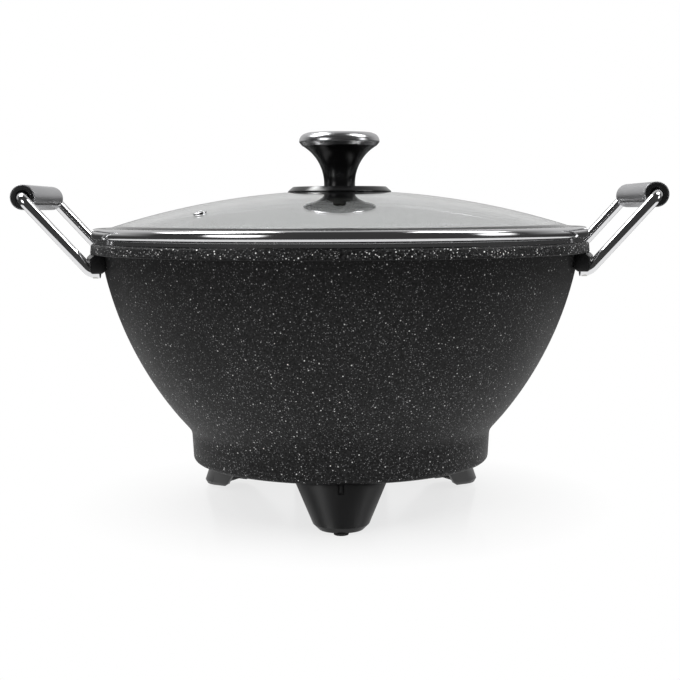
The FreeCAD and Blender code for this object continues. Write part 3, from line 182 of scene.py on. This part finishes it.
# Near the feet some of the table is paper that takes the shadow; further out it is all light.
shadow_from, shadow_width, paper_share = 0.085, 0.095, 0.26
lit = ((reach - shadow_from) / shadow_width).held() * paper_share + (1 - paper_share)
mixed = white_table.node("ShaderNodeMixShader", {}, {0: lit * seen_rays(white_table)})
white_table.tree.links.new(paper.outputs[0], mixed.socket.node.inputs[1])
white_table.tree.links.new(glow.socket, mixed.socket.node.inputs[2])
white_table.join(mixed, white_table.tree.nodes["Material Output"].inputs["Surface"])
table.data.materials.append(white_table.owner)

room = Finish(bpy.data.worlds.new("white_room"))
bpy.context.scene.world = room.owner
background = room.tree.nodes["Background"]
heading = room.node("ShaderNodeTexCoord", {}, {}, "Generated")
backwards = room.node("ShaderNodeSeparateXYZ", {}, {0: heading}, "Y")
upwards = backwards.beside("Z")
path = room.node("ShaderNodeLightPath", {}, {}, "Is Camera Ray")
direct = path.most(path.beside("Is Transmission Ray"))
in_metal = path.beside("Is Glossy Ray")
behind = ((backwards - 0.01) * 1.6).held() * ((upwards + 0.02) * 9).held()
fill_light = 0.5
seen_in_metal = behind * 0.62 + 0.05
room_light = direct + (1 - direct) * ((1 - in_metal) * fill_light + in_metal * seen_in_metal)
room.join(room_light, background.inputs["Strength"])
background.inputs["Color"].default_value = (1, 1, 1, 1)


def soft_lamp(name, width, height, place, aim, power):
    """An area lamp turned to a point, brightest in its middle and dark at its edges."""
    bpy.ops.object.light_add(type="AREA", location=place)
    lamp = bpy.context.object
    lamp.name = name
    lamp.data.shape = "RECTANGLE"
    lamp.data.size = width
    lamp.data.size_y = height
    lamp.data.energy = power
    lamp.rotation_euler = (Vector(aim) - Vector(place)).to_track_quat("-Z", "Y").to_euler()
    lamp.visible_camera = False
    glow = Finish(lamp.data)
    spot = glow.node("ShaderNodeNewGeometry", {}, {}, "Parametric")
    across = glow.node("ShaderNodeSeparateXYZ", {}, {0: spot}, "X")
    along = across.beside("Y")
    falling_off = (1 - across) * across * (1 - along) * along
    mean_of_fall = 1 / 36
    glow.join(falling_off / mean_of_fall, glow.tree.nodes["Emission"].inputs["Strength"])


soft_lamp("left_lamp", 0.5, 0.9, (-0.68, 0.1, 1.2), (0, 0.1, 0.2), 13)
soft_lamp("right_lamp", 0.5, 0.8, (0.75, -0.15, 1.2), (0, -0.15, 0.2), 11)
soft_lamp("left_front_lamp", 0.8, 0.7, (-1.06, -1.06, 0.5), (0, 0, 0.12), 4.2)
soft_lamp("right_front_lamp", 0.6, 0.7, (1.41, -0.51, 0.5), (0, 0, 0.12), 2.0)
soft_lamp("top_lamp", 0.42, 0.3, (-0.4, 0.42, 1.15), (0, 0, 0.2), 3.2)
soft_lamp("low_lamp", 1.0, 0.5, (-0.1, -1.7, 0.5), (0, 0, 0.1), 2.5)
bpy.context.object.visible_glossy = False

# ---------------------------------------------------------------------------------------------
# The bowl: one aluminium casting, turned inside and out, with a band round its rim and a rib
# below its floor that holds the heating element. A sprayed and baked stone-look coating
# covers it: near-black, slightly pebbled, with fine grey grains and fewer white ones.

MM = 0.001


def eased(*corners):
    """A profile in metres from corners in millimetres: radius, height and rounding."""
    profile = []
    for index, (radius, height, *rounding) in enumerate(corners):
        here = Vector((radius, height))
        if not rounding:
            profile.append(here * MM)
            continue
        before = (Vector(corners[index - 1][:2]) - here).normalized()
        after = (Vector(corners[(index + 1) % len(corners)][:2]) - here).normalized()
        half = before.angle(after) / 2
        centre = here + (before + after).normalized() * (rounding[0] / math.sin(half))
        spoke = here + before * (rounding[0] / math.tan(half)) - centre
        turn = spoke.angle_signed(here + after * (rounding[0] / math.tan(half)) - centre)
        steps = max(2, round(abs(turn) / math.radians(14)))
        for step in range(steps + 1):
            angle = -turn * step / steps
            spun = Vector((spoke.x * math.cos(angle) - spoke.y * math.sin(angle),
                           spoke.x * math.sin(angle) + spoke.y * math.cos(angle)))
            profile.append((centre + spun) * MM)
    return profile


def bowed(start, end, curve, steps):
    """Corners along an arc from start to end, without its ends; it bulges to the right."""
    start, end = Vector(start), Vector(end)
    chord = end - start
    right = Vector((chord.y, -chord.x)).normalized()
    centre = (start + end) / 2 - right * math.copysign(
        math.sqrt(curve ** 2 - chord.length ** 2 / 4), curve)
    corners = []
    for step in range(1, steps):
        spoke = (start + chord * (step / steps) - centre).normalized() * abs(curve)
        corners.append(tuple(centre + spoke))
    return corners


def pick(wanted):
    """Select the vertices of the piece in edit mode for which wanted(place) is true."""
    piece = bpy.context.object
    bpy.ops.mesh.select_mode(type="VERT")
    bpy.ops.mesh.select_all(action="DESELECT")
    mesh = bmesh.from_edit_mesh(piece.data)
    for vertex in mesh.verts:
        vertex.select = bool(wanted(piece.matrix_world @ vertex.co))
    mesh.select_flush_mode()
    bmesh.update_edit_mesh(piece.data)


def on_ring(radius, height):
    return lambda spot: (abs(spot.z - height) < 2e-6
                         and abs(math.hypot(spot.x, spot.y) - radius) < 2e-6)


def finished(name, finish, angle=30):
    """Leave edit mode, put the piece's origin at the frame's, smooth it and coat it."""
    bpy.ops.object.mode_set(mode="EDIT")
    bpy.ops.mesh.select_all(action="SELECT")
    bpy.ops.mesh.remove_doubles(threshold=1e-6)
    bpy.ops.mesh.normals_make_consistent(inside=False)
    bpy.ops.object.mode_set(mode="OBJECT")
    bpy.ops.object.transform_apply(location=True, rotation=True, scale=True)
    bpy.ops.object.shade_smooth_by_angle(angle=math.radians(angle))
    piece = bpy.context.object
    piece.name = name
    piece.data.materials.clear()
    piece.data.materials.append(finish)
    return piece


def turned(profile, around=160):
    """Draw a ring out along a profile of radii and heights, and close it.
    An end on the axis closes there as a pole; otherwise the last ring joins the first."""
    bpy.ops.object.select_all(action="DESELECT")
    rings = [tuple(ring) for ring in profile if ring[0] > 1e-7]
    radius, height = rings[0]
    bpy.ops.mesh.primitive_circle_add(vertices=around, radius=radius, location=(0, 0, height))
    bpy.ops.object.mode_set(mode="EDIT")
    for next_radius, next_height in rings[1:]:
        upwards = {"value": (0, 0, next_height - height)}
        bpy.ops.mesh.extrude_edges_move(TRANSFORM_OT_translate=upwards)
        grow = next_radius / radius
        bpy.ops.transform.resize(value=(grow, grow, 1), center_override=(0, 0, next_height))
        radius, height = next_radius, next_height
    if profile[-1][0] > 1e-7:
        pick(lambda spot: on_ring(*rings[0])(spot) or on_ring(*rings[-1])(spot))
        bpy.ops.mesh.bridge_edge_loops()
        return
    for ring, pole in ((rings[-1], profile[-1]), (rings[0], profile[0])):
        if pole[0] < 1e-7:
            pick(on_ring(*ring))
            to_pole = {"value": (0, 0, pole[1] - ring[1])}
            bpy.ops.mesh.extrude_edges_move(TRANSFORM_OT_translate=to_pole)
            bpy.ops.mesh.merge(type="CENTER")


def grains(finish, place, per_metre, reach, share):
    """Round grains scattered through a coating: 1 in a grain, 0 beside it."""
    cells = finish.node("ShaderNodeTexVoronoi", {"feature": "F1"},
                        {"Vector": place, "Scale": per_metre, "Randomness": 1.0}, "Distance")
    chance = finish.node("ShaderNodeSeparateColor", {}, {0: cells.beside("Color")})
    size = chance.beside("Green") * 0.6 + 0.55
    return ((reach * size - cells) * (3.0 / reach)).held() * chance.above(1 - share)


stone = surface("stone_coating", (0.008, 0.008, 0.0083), 0.5, Specular_IOR_Level=0.16)
place = stone.place()
fine = grains(stone, place, 760, 0.3, 1.0)
small = grains(stone, place, 540, 0.168, 0.95)
white = grains(stone, place, 310, 0.13, 0.95)
patches = stone.noise(22, 3, 0.6, place)
height = stone.node("ShaderNodeSeparateXYZ", {}, {0: place}, "Z")

# More grains show low on the wall and on the band round the rim, and the ground is lighter there:
# painted shade darkens the wall under the rim's overhang, painted light brightens the band's face.
band = ((height - 0.1638) * 900).held()
painted_light_by_height = (1.55 - height * 8).held() * 0.7 + 0.15 + band * 0.6
pebbles = stone.noise(900, 2, 0.5, place)
ground = stone.tint(((pebbles - 0.36) * 3.4 * (patches + 0.5) * painted_light_by_height).held(),
                    (0.0012, 0.0012, 0.0013), (0.026, 0.026, 0.0265))
with_fine = stone.tint((fine * patches * 1.5 * painted_light_by_height).held(), ground, (0.22, 0.22, 0.225))
with_small = stone.tint((small * painted_light_by_height).held(), with_fine, (0.45, 0.45, 0.455))
with_white = stone.tint((white * (painted_light_by_height + 0.15)).held(), with_small, (0.9, 0.9, 0.9))
# White grains on the rim's band only: painted light on the band's face, which the lamps light more
# than the wall.
band_painted_light = grains(stone, place, 560, 0.26, 0.5) * band
with_band_painted_light = stone.tint(band_painted_light, with_white, (0.95, 0.95, 0.95))
stone_coating = vary(stone, Base_Color=with_band_painted_light,
                     Roughness=0.58 - 0.18 * white - 0.1 * patches,
                     Normal=stone.relief((pebbles + fine * 0.5 + white).held(), 0.00009, 0.6))

ELEMENT_RING, ELEMENT_HEIGHT, GROOVE = 61.5, 36.5, 3.85
RIB_LOW, FLOOR_LOW, FLOOR_TOP = 34.5, 40, 46
FLOOR_EDGE, MOUTH = (89.5, FLOOR_TOP), (150.6, 170)
WAIST, WALL_TOP = (98, 48.4), (154.2, 163.6)
groove = [(ELEMENT_RING - GROOVE * math.cos(math.radians(turn)),
           ELEMENT_HEIGHT + GROOVE * math.sin(math.radians(turn))) for turn in range(15, 180, 15)]
rib = ((54.65, FLOOR_LOW), (54.65, RIB_LOW, 0.8), (57.65, RIB_LOW, 0.8), (57.65, ELEMENT_HEIGHT),
       *groove, (65.35, ELEMENT_HEIGHT), (65.35, RIB_LOW, 0.8), (68.35, RIB_LOW, 0.8),
       (68.35, FLOOR_LOW))
wall_out = bowed(WAIST, WALL_TOP, 223.2, 26)
mouth_in = bowed(MOUTH, FLOOR_EDGE, -218.7, 26)
turned(eased((0, FLOOR_LOW), *rib, (90.5, FLOOR_LOW), (90.5, 29.45), (92.9, 29.45), (92.9, 28.2),
             (96.9, 28.2, 3.2), (*WAIST, 9), *wall_out[2:],
             (*WALL_TOP, 0.6), (160.9, 163.6, 0.8), (160.3, 170, 1.6), (*MOUTH, 0.8),
             *mouth_in[:-4], (*FLOOR_EDGE, 20), (0, FLOOR_TOP)), around=192)
bowl = finished("cast_bowl", stone_coating)
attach(bowl, "cooker")
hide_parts("wok_bowl")

# ---------------------------------------------------------------------------------------------
# The heating element: a steel tube bent round in the rib's groove, packed with powder round
# its wire. Use has browned it a little. Its cold ends turn down to the terminal pins.

def mottled(name, colour, darker, roughness, metallic, per_metre, **sockets):
    """A metal or fired surface whose tone and gloss change in soft patches."""
    finish = surface(name, colour, roughness, metallic, **sockets)
    clouds = finish.noise(per_metre, 4, 0.6)
    return vary(finish, Base_Color=finish.tint(((clouds - 0.3) * 1.8).held(), darker, colour),
                Roughness=clouds * 0.24 + (roughness - 0.12),
                Normal=finish.relief(finish.noise(per_metre * 14), 0.00003, 0.5))


nodes["heating_element"].data.materials[0] = mottled(
    "browned_tube", (0.26, 0.24, 0.21), (0.12, 0.09, 0.07), 0.45, 0.8, 120)

# ---------------------------------------------------------------------------------------------
# The bottom cover: a disc of zinc-coated steel sheet, pressed with a stiffening bead, that lies
# on the casting's ledge. One pan-head screw holds its middle. The feet clamp its edge.

def rounded(width, angle=50):
    """Round the active piece's edges that are sharper than an angle, by a width in millimetres."""
    bevel = bpy.context.object.modifiers.new("edges", "BEVEL")
    bevel.width = width * MM
    bevel.segments = 3
    bevel.limit_method = "ANGLE"
    bevel.angle_limit = math.radians(angle)
    bpy.ops.object.modifier_apply(modifier="edges")


def softened(node, name, finish, width, body):
    """A copy of a node's solid, its edges rounded off as a mould or a press leaves them."""
    bpy.ops.object.select_all(action="DESELECT")
    piece = bpy.data.objects.new(name, nodes[node].data.copy())
    bpy.context.scene.collection.objects.link(piece)
    piece.select_set(True)
    bpy.context.view_layer.objects.active = piece
    bpy.ops.object.mode_set(mode="EDIT")
    bpy.ops.mesh.select_all(action="SELECT")
    bpy.ops.mesh.remove_doubles(threshold=2e-6)
    bpy.ops.mesh.dissolve_limited(angle_limit=math.radians(0.6))
    bpy.ops.object.mode_set(mode="OBJECT")
    rounded(width, 32)
    finished(name, finish, 32)
    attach(piece, body)
    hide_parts(node)


zinc = surface("zinc_sheet", (0.52, 0.53, 0.54), 0.42, 1.0)
flakes = zinc.node("ShaderNodeTexVoronoi", {}, {"Vector": zinc.place(), "Scale": 130}, "Color")
flake = zinc.node("ShaderNodeSeparateColor", {}, {0: flakes})
zinc_sheet = vary(zinc, Base_Color=zinc.tint(flake, (0.42, 0.43, 0.45), (0.6, 0.61, 0.62)),
                  Roughness=flake * 0.14 + 0.36,
                  Normal=zinc.relief(zinc.noise(400), 0.00003, 0.4))
softened("bottom_cover", "base_cover", zinc_sheet, 0.3, "cooker")

plated = surface("plated_screws", (0.5, 0.5, 0.49), 0.3, 1.0)
smear = plated.noise(420, 3, 0.6)
plated_steel = vary(plated, Base_Color=plated.tint(smear, (0.4, 0.4, 0.38), (0.62, 0.62, 0.6)),
                    Roughness=smear * 0.25 + 0.2)
softened("cover_screw", "middle_screw", plated_steel, 0.25, "cooker")

# ---------------------------------------------------------------------------------------------
# The socket at the back: a box moulded of black heat-proof plastic, screwed up to the base.
# Two nickelled pins stand in ceramic bushes in its cavity, with the probe's bore between them
# in an aluminium block, and a springy earth strip lies along the roof.

def moulded(name, colour, roughness, grain):
    """Black plastic from an eroded mould: even, with a fine satin grain."""
    finish = surface(name, colour, roughness, Specular_IOR_Level=0.42)
    clouds = finish.noise(35, 2, 0.5)
    skin = finish.noise(grain, 3, 0.65)
    lighter = tuple(tone * 1.5 for tone in colour)
    return vary(finish, Base_Color=finish.tint(clouds, colour, lighter),
                Roughness=clouds * 0.1 + skin * 0.1 + (roughness - 0.1),
                Normal=finish.relief(skin, 0.00004, 0.55))


heatproof = moulded("heatproof_plastic", (0.0105, 0.0105, 0.011), 0.42, 2400)
softened("socket_housing", "plug_socket", heatproof, 0.5, "cooker")
softened("housing_screws", "socket_screws", plated_steel, 0.25, "cooker")
nickel = mottled("nickelled_pins", (0.62, 0.58, 0.52), (0.5, 0.47, 0.42), 0.24, 1.0, 200)
softened("terminal_pins", "pins", nickel, 0.2, "cooker")
ceramic = mottled("white_ceramic", (0.8, 0.78, 0.72), (0.7, 0.68, 0.62), 0.35, 0.0, 240)
softened("terminal_insulators", "pin_bushes", ceramic, 0.25, "cooker")
aluminium = mottled("cut_aluminium", (0.62, 0.62, 0.63), (0.5, 0.5, 0.52), 0.38, 1.0, 160)
softened("sensor_block", "probe_block", aluminium, 0.3, "cooker")
spring_steel = mottled("spring_steel", (0.5, 0.49, 0.47), (0.4, 0.39, 0.37), 0.3, 1.0, 180)
nodes["earth_spring"].data.materials[0] = spring_steel

# ---------------------------------------------------------------------------------------------
# The feet: three hollow mouldings of satin black plastic that splay and narrow downwards,
# each with a clip slot at the top of its outer face, two screws and a soft rubber pad.

foot_plastic = moulded("foot_plastic", (0.009, 0.009, 0.0093), 0.42, 1500)
rubber = mottled("rubber", (0.02, 0.02, 0.02), (0.012, 0.012, 0.012), 0.8, 0.0, 300,
                 Specular_IOR_Level=0.3)
for where in ("front", "rear_right", "rear_left"):
    softened("foot_" + where, where + "_foot", foot_plastic, 0.35, "cooker")
    softened("foot_pad_" + where, where + "_pad", rubber, 0.3, "cooker")
softened("foot_screws", "foot_fixings", plated_steel, 0.25, "cooker")

# ---------------------------------------------------------------------------------------------
# The handle lugs: four blocks of glossy black plastic that hug the wall below the rim band,
# two to a handle, each bolted from inside the bowl. One is turned and cut to its sector,
# its edges rounded, and the other three are its mirror images.

ROD_SIDE, RIM_RADIUS = 47.5, 160.9
LUG_START = math.asin((ROD_SIDE - 20.1) / RIM_RADIUS)
LUG_END = math.asin((ROD_SIDE + 7) / RIM_RADIUS)


def mirrored_copy(piece, name, across):
    """A copy with its own mesh, mirrored: (-1, 1) swaps right and left, (1, -1) front and back."""
    bpy.ops.object.select_all(action="DESELECT")
    twin = bpy.data.objects.new(name, piece.data.copy())
    bpy.context.scene.collection.objects.link(twin)
    twin.scale = (*across, 1)
    twin.select_set(True)
    bpy.context.view_layer.objects.active = twin
    bpy.ops.object.transform_apply(location=False, rotation=False, scale=True)
    return finished(name, piece.data.materials[0])


lug_plastic = moulded("lug_plastic", (0.005, 0.005, 0.0053), 0.3, 1200)
turned(eased((155.75, 152.2), (161.7, 152.2, 0.5), (162.9, 153.4, 0.5), (162.9, 161.6, 0.9),
             (161, 163.5, 0.6), (154.3, 163.5), (152.6, 154.6, 0.8)), around=288)
for turn, side in ((LUG_START, 1), (LUG_END, -1)):
    bpy.ops.mesh.select_all(action="SELECT")
    bpy.ops.mesh.bisect(plane_co=(0, 0, 0.158),
                        plane_no=(side * math.sin(turn), -side * math.cos(turn), 0),
                        use_fill=True, clear_outer=True)
pick(lambda spot: spot.x < 0)
bpy.ops.mesh.delete(type="VERT")
bpy.ops.object.mode_set(mode="OBJECT")
rounded(0.7)
lug = finished("right_rear_lug", lug_plastic)
lugs = {"handle_lug_right_rear": lug,
        "handle_lug_right_front": mirrored_copy(lug, "right_front_lug", (1, -1)),
        "handle_lug_left_rear": mirrored_copy(lug, "left_rear_lug", (-1, 1)),
        "handle_lug_left_front": mirrored_copy(lug, "left_front_lug", (-1, -1))}
for node, piece in lugs.items():
    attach(piece, "cooker")
    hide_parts(node)
softened("handle_bolts", "lug_bolts", plated_steel, 0.25, "cooker")

# ---------------------------------------------------------------------------------------------
# The handle rods: one bar of chromed steel to a side, 7.2 mm thick, bent from its tail below
# one lug up and out, through the grip and down to the other. A sunk screw holds each tail.

chrome = surface("chrome", (0.74, 0.74, 0.75), 0.06, 1.0)
wipe = chrome.noise(60, 3, 0.6)
chrome_plate = vary(chrome, Roughness=wipe * 0.07 + 0.03,
                    Normal=chrome.relief(chrome.noise(160, 1), 0.00003, 0.25))


def bent_bar(route, bends, radius, around=40):
    """Draw a disc out along the straight runs of a route, and spin it round the bends."""
    corners = [Vector(corner) * MM for corner in route]
    run = (corners[1] - corners[0]).normalized()
    bpy.ops.object.select_all(action="DESELECT")
    bpy.ops.mesh.primitive_circle_add(vertices=around, radius=radius * MM, fill_type="NGON",
                                      location=corners[0],
                                      rotation=run.to_track_quat("Z", "Y").to_euler())
    bpy.ops.object.mode_set(mode="EDIT")
    here = corners[0]
    for before, corner, after, bend in zip(corners, corners[1:], corners[2:], bends):
        coming = (corner - before).normalized()
        going = (after - corner).normalized()
        half = coming.angle(going) / 2
        start = corner - coming * bend * MM * math.tan(half)
        axis = coming.cross(going).normalized()
        bpy.ops.mesh.extrude_region_move(TRANSFORM_OT_translate={"value": start - here})
        bpy.ops.mesh.spin(steps=12, angle=-2 * half, axis=axis,
                          center=start + axis.cross(coming) * bend * MM)
        here = corner + going * bend * MM * math.tan(half)
    bpy.ops.mesh.extrude_region_move(TRANSFORM_OT_translate={"value": corners[-1] - here})


TAIL_END, TAIL_CORNER, TAIL_HEIGHT = 148.7, 154.2, 152.8
GRIP_OUT, GRIP_HEIGHT = 197, 199.5
side_route = ((TAIL_END, TAIL_HEIGHT), (TAIL_CORNER, TAIL_HEIGHT), (GRIP_OUT, GRIP_HEIGHT))
bent_bar([(out, -ROD_SIDE, up) for out, up in side_route]
         + [(out, ROD_SIDE, up) for out, up in reversed(side_route)], (8, 5.5, 5.5, 8), 3.6)
rod = finished("right_rod", chrome_plate)
twin_rod = mirrored_copy(rod, "left_rod", (-1, 1))
for piece, node in ((rod, "handle_rod_right"), (twin_rod, "handle_rod_left")):
    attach(piece, "cooker")
    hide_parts(node)
softened("handle_screws", "rod_screws", plated_steel, 0.2, "cooker")

# ---------------------------------------------------------------------------------------------
# The grips: a core of black plastic on each rod, with a flared mouth at both ends, in a sleeve
# of brushed steel sheet rolled round it. The sleeve's open seam faces down and inwards.

core_plastic = moulded("core_plastic", (0.007, 0.007, 0.0075), 0.34, 1200)
GRIP_HALF = 42
GRIP_MIDDLE = Vector((GRIP_OUT, 0, GRIP_HEIGHT)) * MM
turned(eased((3.65, 1.5 - GRIP_HALF), (4.6, -GRIP_HALF, 0.3), (7.15, -GRIP_HALF, 0.4),
             (7.15, GRIP_HALF, 0.4), (4.6, GRIP_HALF, 0.3), (3.65, GRIP_HALF - 1.5)), around=64)
bpy.ops.object.mode_set(mode="OBJECT")
core = bpy.context.object
core.matrix_world = (Matrix.Translation(GRIP_MIDDLE) @ Matrix.Rotation(math.radians(90), 4, "X")
                     @ core.matrix_world)
core = finished("right_core", core_plastic)

brushed = surface("brushed_sleeve", (0.4, 0.4, 0.41), 0.4, 1.0)
along = brushed.node("ShaderNodeMapping", {}, {"Vector": brushed.place(), "Scale": (1, 0.02, 1)})
strokes = brushed.noise(5200, 2, 0.6, along)
brushed_steel = vary(brushed,
                     Base_Color=brushed.tint(strokes, (0.33, 0.33, 0.34), (0.47, 0.47, 0.48)),
                     Roughness=strokes * 0.2 + 0.3, Normal=brushed.relief(strokes, 0.00002, 0.6))
bpy.ops.object.select_all(action="DESELECT")
bpy.ops.mesh.primitive_cylinder_add(vertices=128, radius=7.9 * MM, depth=2 * GRIP_HALF * MM,
                                    end_fill_type="NOTHING", location=GRIP_MIDDLE,
                                    rotation=(math.radians(90), 0, 0))
bpy.ops.object.transform_apply(location=True, rotation=True, scale=True)
bpy.ops.object.mode_set(mode="EDIT")
seam_below = math.radians(31)
seam = Vector((-math.cos(seam_below), 0, -math.sin(seam_below)))
mesh = bmesh.from_edit_mesh(bpy.context.object.data)
bpy.ops.mesh.select_mode(type="FACE")
for face in mesh.faces:
    face.select = face.normal.angle(seam) < math.radians(5.4)
bmesh.update_edit_mesh(bpy.context.object.data)
bpy.ops.mesh.delete(type="FACE")
bpy.ops.object.mode_set(mode="OBJECT")
sheet = bpy.context.object.modifiers.new("sheet", "SOLIDIFY")
sheet.thickness = 0.7 * MM
sheet.offset = -1
bpy.ops.object.modifier_apply(modifier="sheet")
rounded(0.18)
sleeve = finished("right_sleeve", brushed_steel)
twin_core = mirrored_copy(core, "left_core", (-1, 1))
twin_sleeve = mirrored_copy(sleeve, "left_sleeve", (-1, 1))
for piece, node in ((core, "grip_core_right"), (twin_core, "grip_core_left"),
                    (sleeve, "grip_sleeve_right"), (twin_sleeve, "grip_sleeve_left")):
    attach(piece, "cooker")
    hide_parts(node)

# ---------------------------------------------------------------------------------------------
# The lid's glass: a dome of tempered glass 4 mm thick with a level brim, ground round its edge,
# with a hole for the knob. A steel eyelet at the front left lets the steam out.

DOME_TOP, DOME_CURVE, UNDER_CURVE = 203.4, 481.05, 477.05
KNOB_HOLE, BRIM = 4.2, 150.2


def dome(radius, curve=DOME_CURVE):
    """Height of the glass's top over a radius, or of its underside with the smaller curve."""
    return DOME_TOP - DOME_CURVE + math.sqrt(curve ** 2 - radius ** 2)


def from_axis(finish, place):
    """Distance from the upright line through the lid's middle."""
    level = finish.node("ShaderNodeVectorMath", {"operation": "MULTIPLY"}, {0: place, 1: (1, 1, 0)})
    return finish.node("ShaderNodeVectorMath", {"operation": "LENGTH"}, {0: level}, "Value")


under = [(radius, dome(radius, UNDER_CURVE)) for radius in (KNOB_HOLE, BRIM)]
over = [(radius, dome(radius)) for radius in (BRIM, KNOB_HOLE)]
clear = surface("clear_glass", (0.745, 0.757, 0.753), 0.0, Transmission_Weight=1.0, IOR=1.5)
smudges = clear.noise(30, 3, 0.6)
clear_glass = vary(clear, Roughness=((smudges - 0.55) * 0.12).held())
turned(eased(under[0], *bowed(*under, -UNDER_CURVE, 22), under[1], (150.7, 175.05), (157.8, 175.05),
             (158.4, 175.65), (158.4, 177.45, 0.6), (156.9, 178.95, 0.6), (150.7, 178.95),
             over[0], *bowed(*over, DOME_CURVE, 22), over[1]), around=192)
glass = finished("dome_glass", clear_glass, 40)
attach(glass, "lid")
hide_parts("lid_glass")

steel = surface("polished_steel", (0.66, 0.66, 0.67), 0.1, 1.0)
place = steel.place()
height = steel.node("ShaderNodeSeparateXYZ", {}, {0: place}, "Z")
round_about = steel.node("ShaderNodeCombineXYZ", {}, {"X": from_axis(steel, place), "Y": height})
rolled = steel.noise(2600, 3, 0.7, round_about)
polished_steel = vary(steel, Roughness=rolled * 0.1 + 0.05,
                      Normal=steel.relief(rolled, 0.00001, 0.4))
softened("steam_vent", "steam_eyelet", polished_steel, 0.15, "lid")

# ---------------------------------------------------------------------------------------------
# The lid's ring: one strip of polished steel rolled round the glass, with a rounded bead, a
# hem folded in below the glass, a skirt set back under the bead and a lip down into the bowl.

turned(eased((150.8, 179), (150.8, 179.7, 0.3), (160, 179.7, 3), (160, 172.8, 2.6),
             (157, 172.8, 0.2), (157, 170.1, 0.3), (148.6, 170.1, 0.3), (148.6, 165.5, 0.2),
             (147.9, 165.5, 0.2), (147.9, 170.8, 0.3), (156.3, 170.8), (156.3, 172.8),
             (153, 172.8, 0.6), (153, 175, 0.3), (159.1, 175), (159.1, 177.3), (157.3, 179)),
       around=256)
ring = finished("steel_ring", polished_steel)
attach(ring, "lid")
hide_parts("lid_ring")

# ---------------------------------------------------------------------------------------------
# The knob: a glossy black disc on the glass, a flared black body with a brass thread moulded
# into it, and a pressed steel cap over its top. A screw with a washer and a silicone gasket
# pulls it down from inside the lid.

knob_plastic = moulded("knob_plastic", (0.003, 0.003, 0.0032), 0.19, 900)
DISC_RADIUS, DISC_TOP = 33.6, 205.8
seat = [(radius, dome(radius) + 0.05) for radius in (3.2, 8.2, 13.3, 18.4, 23.5, 28.6, DISC_RADIUS)]
turned(eased(*seat[:-1], (*seat[-1], 0.2), (DISC_RADIUS, dome(DISC_RADIUS) + 0.75, 0.3),
             (30.3, DISC_TOP, 0.6),
             (10.2, DISC_TOP, 0.2), (10.2, 205), (3.2, 205)), around=160)
disc = finished("knob_plate", knob_plastic)
turned(eased((0, 205.05), (10.1, 205.05), (10.1, 208), *bowed((10.1, 208), (22.9, 231.5), -28, 16),
             (22.9, 231.5, 0.3), (23.2, 231.8), (23.2, 236.4), (0, 236.4)), around=128)
handle = finished("knob_grip", knob_plastic)

satin = surface("satin_cap", (0.62, 0.62, 0.63), 0.3, 1.0)
outwards = satin.node("ShaderNodeCombineXYZ", {}, {"X": from_axis(satin, satin.place())})
rings = satin.noise(3200, 3, 0.7, outwards)
satin_steel = vary(satin, Base_Color=satin.tint(rings, (0.44, 0.44, 0.45), (0.56, 0.56, 0.57)),
                   Roughness=rings * 0.14 + 0.16, Normal=satin.relief(rings, 0.00001, 0.5))
turned(eased((0, 236.45), (23.25, 236.45, 0.3), (23.25, 232), (24, 232, 0.3), (26.1, 234.5, 0.7),
             (26.1, 235), *bowed((26.1, 235), (22.9, 239.9), 5, 7),
             (22.9, 239.9, 0.5), (21.3, 240.5, 0.8), (11.45, 240.7), (0, 240.7)), around=160)
cap = finished("knob_top", satin_steel)
for piece, node in ((disc, "knob_disc"), (handle, "knob_body"), (cap, "knob_cap")):
    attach(piece, "lid")
    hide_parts(node)

brass = mottled("brass", (0.78, 0.56, 0.25), (0.62, 0.43, 0.18), 0.3, 1.0, 200)
nodes["knob_insert"].data.materials[0] = brass
silicone = mottled("silicone", (0.7, 0.7, 0.68), (0.62, 0.62, 0.6), 0.55, 0.0, 200)
softened("knob_gasket", "gasket", silicone, 0.2, "lid")
softened("knob_washer", "washer", plated_steel, 0.15, "lid")
softened("knob_screw", "knob_fixing", plated_steel, 0.25, "lid")
